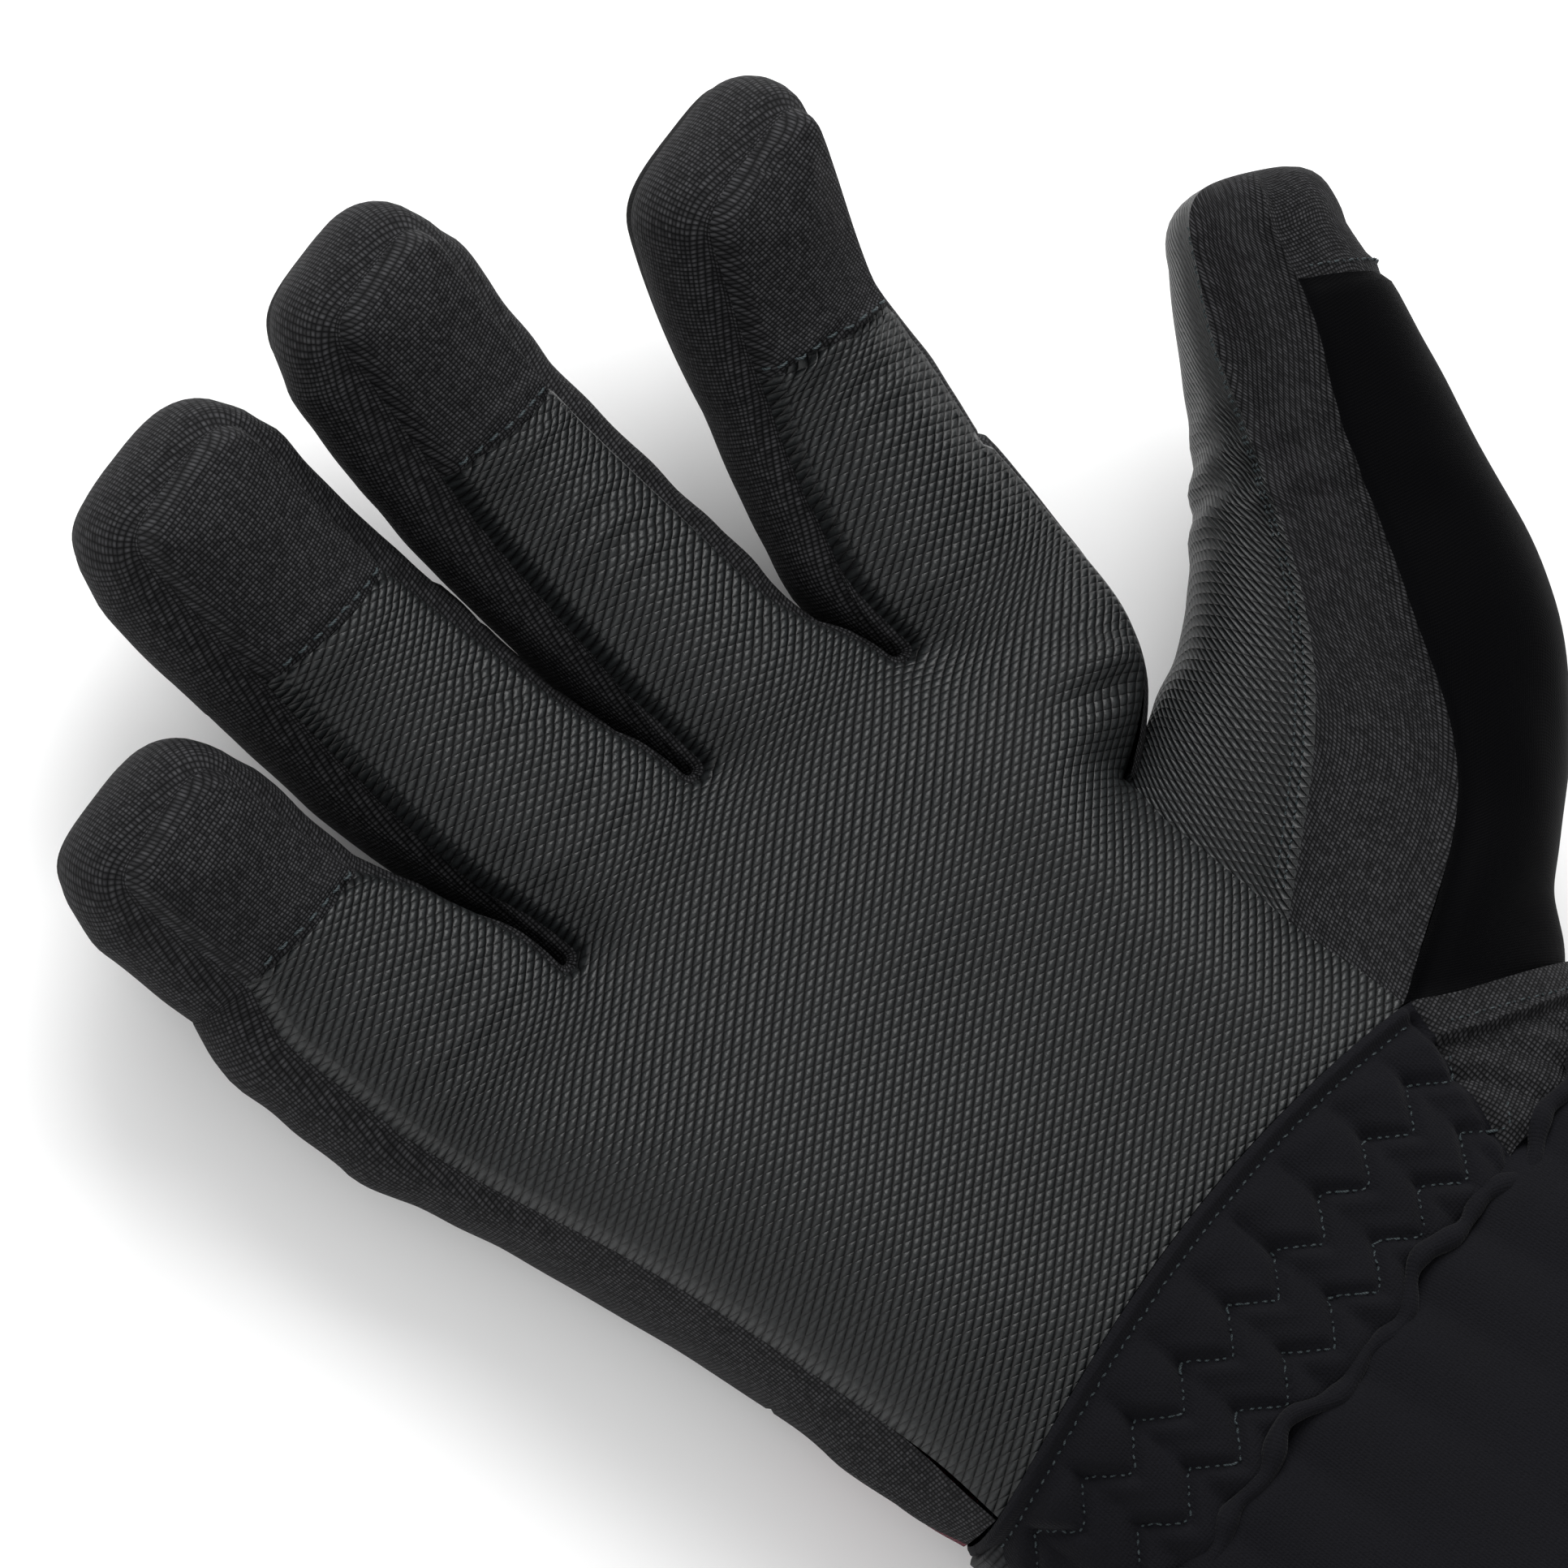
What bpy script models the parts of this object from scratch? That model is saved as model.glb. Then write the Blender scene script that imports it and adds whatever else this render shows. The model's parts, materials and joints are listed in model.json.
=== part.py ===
"""Insulated five-finger ski glove, right hand, lying on its back with the palm up.

+Z is up out of the palm, +Y runs from the wrist to the fingertips and +X points to the thumb side.
The origin is on the flattened back of the hand, under the middle of the palm, and the floor is z = 0.
Drawing sizes are in millimetres and turn into metres in at().
Every fabric piece is a closed shell: an outer surface, an inner surface and the cut edges between.
A tube of the glove is a lofted ring grid.  Its seams are narrow columns or rows that no piece fills.
"""

import math

import bmesh
import bpy
from mathutils import Vector

# ---------------------------------------------------------------- driving dimensions, millimetres and degrees
MM = 0.001
PALM_X, PALM_Y = -15.0, 45.0          # the row origin, in drawing coordinates

SHELL = 2.0                           # outer fabric with its foam backing
LINER_FROM, LINER_TO = 2.5, 4.0       # insulation and lining of a finger
THUMB_LINER_FROM, THUMB_LINER_TO = 3.4, 4.9
INSULATION_FROM, INSULATION_TO = 2.8, 4.6
LINING_FROM, LINING_TO = 5.6, 6.8     # the hand's lining lies inside its insulation
SEAM_GAP = 0.3                        # clearance between two sewn pieces
SEAM_ANGLE = 1.0                      # the same on a finger ring, in degrees
RUN_GAP = 0.6                         # clearance on each side of a bending line

CORNER = 0.8                          # below 1, a ring is squarer than an ellipse
FINGER_HALF_WIDTH, FINGER_HALF_HEIGHT = 13.5, 12.0
TIP_HALF_WIDTH, TIP_HALF_HEIGHT = 12.0, 10.8
TIP_DOME = 9.0                        # length of the rounded fingertip
FINGER_CENTRE_Z = 17.0
HINGE_ABOVE_CENTRE = 4.0              # the bending line lies towards the palm side

KNUCKLE_RANGE = (-10.0, 45.0)
MIDDLE_RANGE = (-15.0, 55.0)
THUMB_BASE_RANGE = (-26.0, 10.0)
THUMB_TIP_RANGE = (-10.0, 40.0)
WRIST_RANGE = (-20.0, 20.0)

# name: base x, base y, yaw, proximal length, distal length, proximal pitch, tip pitch, grip length
FINGERS = {
    "index": (34.3, 87.0, 15.0, 22.0, 48.0, 10.0, 36.0, 14.0),
    "middle": (3.5, 97.0, 1.5, 25.0, 57.0, 8.0, 30.0, 23.0),
    "ring": (-26.0, 98.5, -4.0, 22.5, 54.0, 6.0, 26.0, 23.0),
    "little": (-55.0, 94.0, -8.5, 17.5, 39.0, 8.0, 28.0, 9.0),
}
PALM_SEAM, BACK_SEAM = 35.0, 325.0    # ring angles of the radial seams; the ulnar ones mirror them

PALM_SEAM_Z = 29.0                    # edge of the palm panel
PALM_RISE = 11.0                      # how far its middle stands above its edge
BACK_EDGE_RISE = 6.0                  # how far the back curls up at its edges
HAND_EDGE_WRIST, HAND_EDGE_KNUCKLE = -58.5, -67.5
THUMB_ROOT_X = 25.0                   # seam between the palm and the thumb
INDEX_EDGE_X = 46.5
WEB_PATH = ((45.0, 70.0), (41.5, 64.5), (35.0, 61.2), (27.0, 59.5))
WEB_LOW, WEB_HIGH = 12.0, 26.0
LAYER_FROM_Y, LAYER_TO_Y = 12.0, 84.0  # the insulation and the lining inside the hand
WRIST_SEAM_Y, WRIST_SEAM_X, WRIST_SEAM_CURVE = 12.2, -12.0, 0.00305

WRIST_X, WRIST_Z = -4.5, 22.2
WRIST_HALF_WIDTH, WRIST_HALF_HEIGHT = 52.0, 19.4
WRIST_HINGE_Y = -13.0
STRAP_THICK = 1.5
HEM_Y = -86.0
CUFF_HALF_WIDTH, CUFF_HALF_HEIGHT = 62.5, 37.3

# thumb rings: centre x, y, z, heading from +X, half width, half height
THUMB_RINGS = (
    (27.0, 31.0, 21.0, 0.0, 23.5, 15.5),
    (47.5, 33.5, 22.0, 22.0, 23.5, 16.5),
    (65.0, 44.5, 25.0, 41.0, 21.0, 16.5),
    (78.0, 61.5, 30.0, 49.0, 18.0, 15.0),
    (84.5, 73.0, 34.0, 53.0, 15.0, 13.5),
    (89.5, 82.0, 38.0, 55.0, 12.0, 12.0),
)
THUMB_TIP_RING = 3                    # the ring where the thumb bends
THUMB_HINGE_Z = 26.0
THUMB_SEAMS = (121.0, 159.0, 240.0, 320.0)

COLOURS = {                           # base colour, roughness
    "grip": ((0.027, 0.030, 0.033), 0.52),
    "oxford": ((0.010, 0.011, 0.013), 0.75),
    "softshell": ((0.005, 0.0055, 0.007), 0.7),
    "brushed": ((0.012, 0.013, 0.016), 0.8),
    "accent": ((0.14, 0.018, 0.040), 0.7),
    "webbing": ((0.006, 0.006, 0.006), 0.8),
    "elastic": ((0.02, 0.02, 0.02), 0.8),
    "insulation": ((0.55, 0.55, 0.55), 0.9),
    "lining": ((0.03, 0.03, 0.035), 0.9),
}


# ---------------------------------------------------------------- scene, materials and the shell builder
def start_scene():
    for leftover in list(bpy.data.objects):
        bpy.data.objects.remove(leftover, do_unlink=True)
    glove = bpy.data.collections.new("ski_glove")
    bpy.context.scene.collection.children.link(glove)
    return glove


def make_material(name, finish):
    colour, roughness = COLOURS[finish]
    material = bpy.data.materials.new(name + "_" + finish)
    material.use_nodes = True
    shader = material.node_tree.nodes["Principled BSDF"]
    shader.inputs["Base Color"].default_value = (*colour, 1.0)
    shader.inputs["Roughness"].default_value = roughness
    material.diffuse_color = (*colour, 1.0)
    return material


def at(x, y, z):
    """A point of the drawing, in metres from the row origin."""
    return Vector(((x - PALM_X) * MM, (y - PALM_Y) * MM, z * MM))


def spread(start, end, count):
    return [start + (end - start) * step / (count - 1) for step in range(count)]


def smooth(value):
    value = min(1.0, max(0.0, value))
    return value * value * (3.0 - 2.0 * value)


def shell(name, finish, joint, outer, inner, filled, ring=True, closed_end=False):
    """One closed piece between two point grids, made of the cells where filled(row, column) is true.

    ring joins the last column to the first, and closed_end caps the last row."""
    rows, columns = len(outer), len(outer[0])
    cells = columns if ring else columns - 1
    bm = bmesh.new()
    made = {}

    def vertex(side, row, column):
        key = (side, row, column % columns)
        if key not in made:
            made[key] = bm.verts.new((outer, inner)[side][row][column % columns])
        return made[key]

    def is_filled(row, column):
        if not 0 <= row < rows - 1:
            return False
        if ring:
            return filled(row, column % columns)
        return 0 <= column < cells and filled(row, column)

    for row in range(rows - 1):
        for column in range(cells):
            if not filled(row, column):
                continue
            corners = ((row, column), (row, column + 1), (row + 1, column + 1), (row + 1, column))
            bm.faces.new([vertex(0, *corner) for corner in corners])
            bm.faces.new([vertex(1, *corner) for corner in reversed(corners)])
            neighbours = ((row - 1, column), (row, column + 1), (row + 1, column), (row, column - 1))
            for side, neighbour in enumerate(neighbours):
                capped = closed_end and neighbour[0] == rows - 1
                if is_filled(*neighbour) or capped:
                    continue
                a, b = corners[side], corners[(side + 1) % 4]
                bm.faces.new((vertex(0, *b), vertex(0, *a), vertex(1, *a), vertex(1, *b)))
    if closed_end:
        for side in (0, 1):
            bm.faces.new([vertex(side, rows - 1, column) for column in range(columns)])
    bmesh.ops.recalc_face_normals(bm, faces=bm.faces)
    mesh = bpy.data.meshes.new(name)
    bm.to_mesh(mesh)
    bm.free()
    return add_piece(name, finish, joint, mesh)


def add_piece(name, finish, joint, mesh):
    """The piece goes under its joint's empty, whose origin is on the joint's axis."""
    mesh.transform(joint.matrix_world.inverted())
    mesh.shade_smooth()
    mesh.set_sharp_from_angle(angle=math.radians(40.0))
    mesh.materials.append(make_material(name, finish))
    piece = bpy.data.objects.new(name, mesh)
    piece.parent = joint
    GLOVE.objects.link(piece)
    return piece


def make_joint(name, position, parent=None):
    joint = bpy.data.objects.new(name, None)
    joint.empty_display_size = 0.01
    joint.matrix_world.translation = position
    if parent is not None:
        joint.parent = parent
        joint.matrix_parent_inverse = parent.matrix_world.inverted()
    GLOVE.objects.link(joint)
    bpy.context.view_layer.update()
    return joint


# ---------------------------------------------------------------- rings, and the cuts that let them bend
class Ring:
    """A rounded rectangle round a centre, with its own right, up and forward directions."""

    def __init__(self, centre, right, forward, half_width, half_height):
        self.centre, self.right, self.forward = centre, right.normalized(), forward.normalized()
        self.up = self.right.cross(self.forward)
        self.half_width, self.half_height = half_width, half_height
        self.cut = None

    def point(self, angle, inset, advance=0.0):
        cosine, sine = math.cos(math.radians(angle)), math.sin(math.radians(angle))
        x = (self.half_width - inset) * math.copysign(abs(cosine) ** CORNER, cosine)
        z = (self.half_height - inset) * math.copysign(abs(sine) ** CORNER, sine)
        spot = self.centre + (self.right * x + self.up * z + self.forward * advance) * MM
        if self.cut:
            pivot, side, slope_ahead, slope_behind, sign = self.cut
            height = (spot - pivot).dot(side)
            retreat = RUN_GAP * MM + max(height * slope_ahead, -height * slope_behind)
            spot = spot + self.forward * (sign * retreat)
        return spot


def wedge(pivot, side, limits, share, sign):
    """A V-shaped end; side closes towards the joint's high limit, and share is this piece's part of it."""
    low, high = limits
    return (
        pivot,
        side,
        math.tan(math.radians(high * share)),
        math.tan(math.radians(-low * share)),
        sign,
    )


def seam_columns(seams, between):
    """Ring angles with a narrow pair at each seam, and the panel number of each cell (-1 inside a seam)."""
    angles, panels = [], []
    for number, (start, end) in enumerate(zip(seams, seams[1:] + (seams[0] + 360.0,))):
        angles += spread(start + SEAM_ANGLE, end - SEAM_ANGLE, between + 2)
        panels += [number] * (between + 1) + [-1]
    return angles, panels


# ---------------------------------------------------------------- fingers
class Finger:
    """The centre line of a finger, which pitches up from the knuckle to the tip."""

    def __init__(self, name):
        (x, y, self.yaw, self.near, self.far, self.pitch, self.tip_pitch, self.grip) = FINGERS[name]
        self.name = name
        self.length = self.near + self.far
        self.start = Vector((x, y, FINGER_CENTRE_Z))

    def pitch_at(self, along):
        bend = smooth((along - self.near) / (self.far * 0.75))
        return math.radians(self.pitch + (self.tip_pitch - self.pitch) * bend)

    def centre_at(self, along):
        spot, steps = self.start.copy(), 40
        stride = along / steps
        for step in range(steps):
            pitch = self.pitch_at(stride * (step + 0.5))
            spot += Vector((stride * math.sin(math.radians(self.yaw)),
                            stride * math.cos(math.radians(self.yaw)) * math.cos(pitch),
                            stride * math.sin(pitch)))
        return spot

    def ring_at(self, along):
        pitch = self.pitch_at(along)
        taper = max(0.0, (along - self.near) / self.far)
        forward = Vector((0.0, math.cos(pitch), math.sin(pitch)))
        return Ring(
            at(*self.centre_at(along)),
            Vector((1.0, 0.0, 0.0)),
            forward,
            FINGER_HALF_WIDTH + (TIP_HALF_WIDTH - FINGER_HALF_WIDTH) * taper,
            FINGER_HALF_HEIGHT + (TIP_HALF_HEIGHT - FINGER_HALF_HEIGHT) * taper,
        )

    def hinge_at(self, along):
        ring = self.ring_at(along)
        return ring.centre + ring.up * (HINGE_ABOVE_CENTRE * MM)


def ring_grid(rings, angles, inset):
    return [[ring.point(angle, inset) for angle in angles] for ring in rings]


def dome_rows(ring, dome, angles, inset):
    """Rows that close a fingertip, blunt rather than round."""
    rows = []
    for turn in (28.0, 52.0, 72.0):
        scale = math.cos(math.radians(turn)) ** 0.75
        half_width, half_height = ring.half_width, ring.half_height
        smaller = Ring(ring.centre, ring.right, ring.forward,
                       (half_width - inset) * scale, (half_height - inset) * scale)
        advance = (dome - inset) * math.sin(math.radians(turn))
        rows.append([smaller.point(angle, 0.0, advance) for angle in angles])
    return rows


FINGER_PANELS = ("palm", "fourchette_ulnar", "back", "fourchette_radial")
FINGER_SEAMS = (PALM_SEAM, 180.0 - PALM_SEAM, 540.0 - BACK_SEAM, BACK_SEAM)
FINGER_FINISH = {"palm": "grip", "back": "softshell",
                 "fourchette_ulnar": "oxford", "fourchette_radial": "oxford"}


def build_finger(name, hand):
    finger = Finger(name)
    knuckle = make_joint(name + "_knuckle", finger.hinge_at(0.0), hand)
    middle = make_joint(name + "_middle", finger.hinge_at(finger.near), knuckle)
    angles, panels = seam_columns(FINGER_SEAMS, 2)

    near_rings = [finger.ring_at(along) for along in spread(0.0, finger.near, 3)]
    up = near_rings[0].up
    near_rings[0].cut = wedge(finger.hinge_at(0.0), up, KNUCKLE_RANGE, 0.5, 1.0)
    near_rings[-1].cut = wedge(finger.hinge_at(finger.near), near_rings[-1].up, MIDDLE_RANGE, 0.5, -1.0)
    outer, inner = ring_grid(near_rings, angles, 0.0), ring_grid(near_rings, angles, SHELL)
    for number, panel in enumerate(FINGER_PANELS):
        shell(name + "_" + panel, FINGER_FINISH[panel], knuckle, outer, inner,
              lambda row, column, number=number: panels[column] == number)
    shell(name + "_liner", "lining", knuckle, ring_grid(near_rings, angles, LINER_FROM),
          ring_grid(near_rings, angles, LINER_TO), lambda row, column: True)
    build_fingertip(finger, middle, angles, panels)


def build_fingertip(finger, joint, angles, panels):
    """Grip panel, then the cap that closes the tip, and one sleeve for the back and both sides."""
    start, end = finger.near, finger.length - TIP_DOME
    seam = start + finger.grip
    stations = [start, seam - SEAM_GAP / 2, seam + SEAM_GAP / 2, (seam + end) / 2, end - SEAM_GAP, end]
    rings = [finger.ring_at(along) for along in stations]
    rings[0].cut = wedge(finger.hinge_at(start), rings[0].up, MIDDLE_RANGE, 0.5, 1.0)

    def grid(inset):
        return ring_grid(rings, angles, inset) + dome_rows(rings[-1], TIP_DOME, angles, inset)

    outer, inner = grid(0.0), grid(SHELL)
    cap_row, last_row = 2, len(rings) - 1

    def on_cap(row, column):
        return row >= last_row or (row >= cap_row and panels[column] == 0)

    def on_sleeve(row, column):
        if panels[column] == 0 or row >= last_row - 1:
            return False
        return panels[column] > 0 or column_joins_sleeve(column)

    def column_joins_sleeve(column):
        last, following = panels[column - 1], panels[(column + 1) % len(panels)]
        return last > 0 and following > 0

    shell(finger.name + "_tip_grip", "grip", joint, outer, inner,
          lambda row, column: row < cap_row - 1 and panels[column] == 0)
    shell(finger.name + "_tip_cap", "oxford", joint, outer, inner, on_cap, closed_end=True)
    shell(finger.name + "_tip_sleeve", "softshell", joint, outer, inner, on_sleeve)
    shell(finger.name + "_tip_liner", "lining", joint, grid(LINER_FROM), grid(LINER_TO),
          lambda row, column: True, closed_end=True)


# ---------------------------------------------------------------- thumb
def thumb_rings():
    rings = []
    for x, y, z, heading, half_width, half_height in THUMB_RINGS:
        turn = math.radians(heading)
        forward = Vector((math.cos(turn), math.sin(turn), 0.12 if heading else 0.0)).normalized()
        right = Vector((math.sin(turn), -math.cos(turn), 0.0))
        rings.append(Ring(at(x, y, z), right, forward, half_width, half_height))
    return rings


THUMB_PANELS = ("fourchette_upper", "palm", "fourchette_lower", "back")
THUMB_FINISH = ("oxford", "grip", "oxford", "softshell")


def build_thumb(hand):
    rings = thumb_rings()
    root_pivot = at(THUMB_RINGS[0][0], THUMB_RINGS[0][1], THUMB_HINGE_Z)
    bend = rings[THUMB_TIP_RING]
    base_joint = make_joint("thumb_base", root_pivot, hand)
    tip_joint = make_joint("thumb_tip", bend.centre, base_joint)
    angles, panels = seam_columns(THUMB_SEAMS, 2)

    near = rings[: THUMB_TIP_RING + 1]
    down = Vector((0.0, 0.0, -1.0))
    near[0].cut = wedge(root_pivot, down, THUMB_BASE_RANGE, 1.0, 1.0)
    near[-1].cut = wedge(bend.centre, -bend.right, THUMB_TIP_RANGE, 0.5, -1.0)
    outer, inner = ring_grid(near, angles, 0.0), ring_grid(near, angles, SHELL)
    for number, panel in enumerate(THUMB_PANELS):
        shell("thumb_" + panel, THUMB_FINISH[number], base_joint, outer, inner,
              lambda row, column, number=number: panels[column] == number)
    shell("thumb_liner", "lining", base_joint, ring_grid(near, angles, THUMB_LINER_FROM),
          ring_grid(near, angles, THUMB_LINER_TO), lambda row, column: True)
    build_thumb_tip(tip_joint, angles, panels)


def build_thumb_tip(joint, angles, panels):
    """The grip runs to the dome, the cap is the dome and the back end, and a sleeve takes the rest."""
    rings = thumb_rings()[THUMB_TIP_RING:]
    rings[0].cut = wedge(rings[0].centre, -rings[0].right, THUMB_TIP_RANGE, 0.5, 1.0)
    middle, end = rings[1], rings[2]
    short = Ring(end.centre - end.forward * (SEAM_GAP * MM), end.right, end.forward,
                 end.half_width, end.half_height)
    rings = [rings[0], middle, short, end]

    def grid(inset):
        return ring_grid(rings, angles, inset) + dome_rows(rings[-1], TIP_DOME, angles, inset)

    outer, inner = grid(0.0), grid(SHELL)
    last_row = len(rings) - 1

    def on_sleeve(row, column):
        if row >= last_row - 1 or panels[column] == 1:
            return False
        return panels[column] >= 0 or 1 not in (panels[column - 1], panels[(column + 1) % len(panels)])

    shell("thumb_tip_grip", "grip", joint, outer, inner,
          lambda row, column: row < last_row - 1 and panels[column] == 1)
    shell("thumb_tip_cap", "oxford", joint, outer, inner,
          lambda row, column: row >= last_row, closed_end=True)
    shell("thumb_tip_sleeve", "softshell", joint, outer, inner, on_sleeve)
    shell("thumb_tip_liner", "lining", joint, grid(THUMB_LINER_FROM), grid(THUMB_LINER_TO),
          lambda row, column: True, closed_end=True)


# ---------------------------------------------------------------- hand
def wrist_seam_y(x):
    return WRIST_SEAM_Y - WRIST_SEAM_CURVE * (x - WRIST_SEAM_X) ** 2


def knuckle_columns():
    """x of the hand's lengthwise columns at the knuckles, with a narrow step where the bases change height."""
    columns = [HAND_EDGE_KNUCKLE, -54.0, -41.2, -39.8, -26.0, -11.4, 3.5, 18.3, 19.8, 33.0, INDEX_EDGE_X]
    bases = ["little"] * 3 + ["ring"] * 2 + ["middle"] * 3 + ["index"] * 3
    return columns, [FINGERS[name][1] for name in bases]


HAND_ROWS = (0.0, 0.13, 0.245, 0.25, 0.42, 0.58, 0.72, 0.86, 1.0)
ACCENT_ROWS, ACCENT_COLUMNS = 2, 2


def hand_point(row, column, base_gap):
    """Plan position of a grid point of the palm or the back."""
    knuckle_x, base_y = knuckle_columns()
    count = len(knuckle_x) - 1
    part = (knuckle_x[column] - HAND_EDGE_KNUCKLE) / (INDEX_EDGE_X - HAND_EDGE_KNUCKLE)
    wrist_x = HAND_EDGE_WRIST + (THUMB_ROOT_X - HAND_EDGE_WRIST) * part
    start, end = wrist_seam_y(wrist_x), base_y[column] - base_gap
    y = start + (end - start) * HAND_ROWS[row]
    along = (y - start) / (base_y[column] - start)
    early, late = min(1.0, along * 1.15), smooth((y - 56.0) / 9.0)
    share = early + (late - early) * min(1.0, column / (count - 2.0))
    return wrist_x + (knuckle_x[column] - wrist_x) * share, y


def palm_height(across, along):
    crown = PALM_RISE * (1.0 - 0.75 * smooth((along - 0.35) / 0.6)) + 1.5 * smooth((0.25 - along) / 0.25)
    return PALM_SEAM_Z + crown * math.sqrt(max(0.0, 1.0 - across * across))


def back_height(across, along):
    curl = BACK_EDGE_RISE * max(0.0, (abs(across) - 0.62) / 0.38) ** 1.6
    return curl + 4.0 * smooth((along - 0.82) / 0.18) + 2.4 * smooth((0.14 - along) / 0.14)


def hand_grid(height, base_gap, lift=0.0, inset=0.0):
    grid = []
    columns = knuckle_columns()[0]
    for row, along in enumerate(HAND_ROWS):
        line = []
        for column in range(len(columns)):
            x, y = hand_point(row, column, base_gap)
            across = -1.0 + 2.0 * (columns[column] - columns[0]) / (columns[-1] - columns[0])
            line.append(at(x - inset * across, y, height(across, along) + lift))
        grid.append(line)
    return grid


def gap_behind(height_from_hinge, angle):
    return RUN_GAP + height_from_hinge * math.tan(math.radians(angle / 2.0))


def build_hand(hand):
    palm_gap, back_gap = gap_behind(10.0, KNUCKLE_RANGE[1]), gap_behind(18.0, -KNUCKLE_RANGE[0])
    palm_outer = hand_grid(palm_height, palm_gap)
    palm_inner = hand_grid(palm_height, palm_gap, lift=-SHELL, inset=0.6)
    shell("palm_panel", "grip", hand, palm_outer, palm_inner, lambda row, column: True, ring=False)

    back_outer = hand_grid(back_height, back_gap)
    back_inner = hand_grid(back_height, back_gap, lift=SHELL, inset=0.6)

    def on_accent(row, column):
        return row < ACCENT_ROWS and column < ACCENT_COLUMNS

    def beside_accent(row, column):
        return row <= ACCENT_ROWS and column <= ACCENT_COLUMNS

    shell("accent_panel", "accent", hand, back_outer, back_inner, on_accent, ring=False)
    shell("back_panel", "softshell", hand, back_outer, back_inner,
          lambda row, column: not beside_accent(row, column), ring=False)
    build_side_strip(hand, palm_gap)
    build_web_strip(hand, palm_gap)
    build_hand_layers(hand)


def wall_grid(path, low, high, bulge, inset):
    """An upright strip along a plan path; its middle stands out by bulge, to the left of the path."""
    grid = []
    for number, (x, y) in enumerate(path):
        before, after = path[max(0, number - 1)], path[min(len(path) - 1, number + 1)]
        along = Vector((after[0] - before[0], after[1] - before[1])).normalized()
        left = Vector((-along.y, along.x))
        line = []
        for step in spread(0.0, 1.0, 4):
            out = bulge * math.sin(math.pi * step) - inset
            bottom, top = low(number / (len(path) - 1)), high(number / (len(path) - 1))
            line.append(at(x + left.x * out, y + left.y * out, bottom + (top - bottom) * step))
        grid.append(line)
    return grid


def build_side_strip(hand, base_gap):
    """Oxford strip along the little-finger edge, between the back and the palm."""
    path = [hand_point(row, 0, base_gap) for row in range(len(HAND_ROWS)) if row != 2]

    def low(along):
        return back_height(-1.0, along) + SHELL + SEAM_GAP

    def high(along):
        return palm_height(-1.0, along) - SHELL - SEAM_GAP

    outer, inner = wall_grid(path, low, high, 2.5, 0.0), wall_grid(path, low, high, 2.5, SHELL)
    shell("outer_side_strip", "oxford", hand, outer, inner, lambda row, column: True, ring=False)


def build_web_strip(hand, base_gap):
    """Oxford strip round the web, from the index base to the thumb root."""
    path = [(INDEX_EDGE_X, FINGERS["index"][1] - base_gap)] + list(WEB_PATH)
    outer = wall_grid(path, lambda along: WEB_LOW, lambda along: WEB_HIGH, 1.0, -SHELL / 2)
    inner = wall_grid(path, lambda along: WEB_LOW, lambda along: WEB_HIGH, 1.0, SHELL / 2)
    shell("web_strip", "oxford", hand, outer, inner, lambda row, column: True, ring=False)


def layer_grid(inset):
    """Closed ring rows inside the hand, for the insulation and the lining."""
    grid = []
    for along in spread(0.06, 0.82, 5):
        y = LAYER_FROM_Y + (LAYER_TO_Y - LAYER_FROM_Y) * along
        left = HAND_EDGE_WRIST + (HAND_EDGE_KNUCKLE - HAND_EDGE_WRIST) * along
        beside_index = smooth((y - 57.0) / 14.0)
        right = THUMB_ROOT_X + (INDEX_EDGE_X - THUMB_ROOT_X) * beside_index - SHELL - 0.5
        low, high = 1.0, palm_height(0.75, along) - 1.0
        ring = Ring(at((left + right) / 2, y, (low + high) / 2), Vector((1, 0, 0)), Vector((0, 1, 0)),
                    (right - left) / 2, (high - low) / 2)
        grid.append([ring.point(angle, inset) for angle in spread(0.0, 345.0, 24)])
    return grid


def build_hand_layers(hand):
    """Insulation and lining, both open towards the thumb."""
    def off_thumb(row, column):
        return not (row < 3 and (column < 3 or column > 20))

    first, second = layer_grid(INSULATION_FROM), layer_grid(INSULATION_TO)
    shell("hand_insulation", "insulation", hand, first, second, off_thumb)
    third, fourth = layer_grid(LINING_FROM), layer_grid(LINING_TO)
    shell("hand_lining", "lining", hand, third, fourth, off_thumb)


# ---------------------------------------------------------------- wrist and cuff
WRIST_SEAMS = (33.0, 200.0)


def wrist_ring(y, half_width, half_height, centre_z):
    return Ring(at(WRIST_X, y, centre_z), Vector((1, 0, 0)), Vector((0, 1, 0)), half_width, half_height)


def follow_wrist_seam(grid):
    """Bends the first row of a wrist grid so that it runs along the curved hand seam."""
    for spot in grid[0]:
        x = spot.x / MM + PALM_X
        spot.y += (wrist_seam_y(max(-56.0, min(30.0, x))) - WRIST_SEAM_Y) * MM
    return grid


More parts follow.
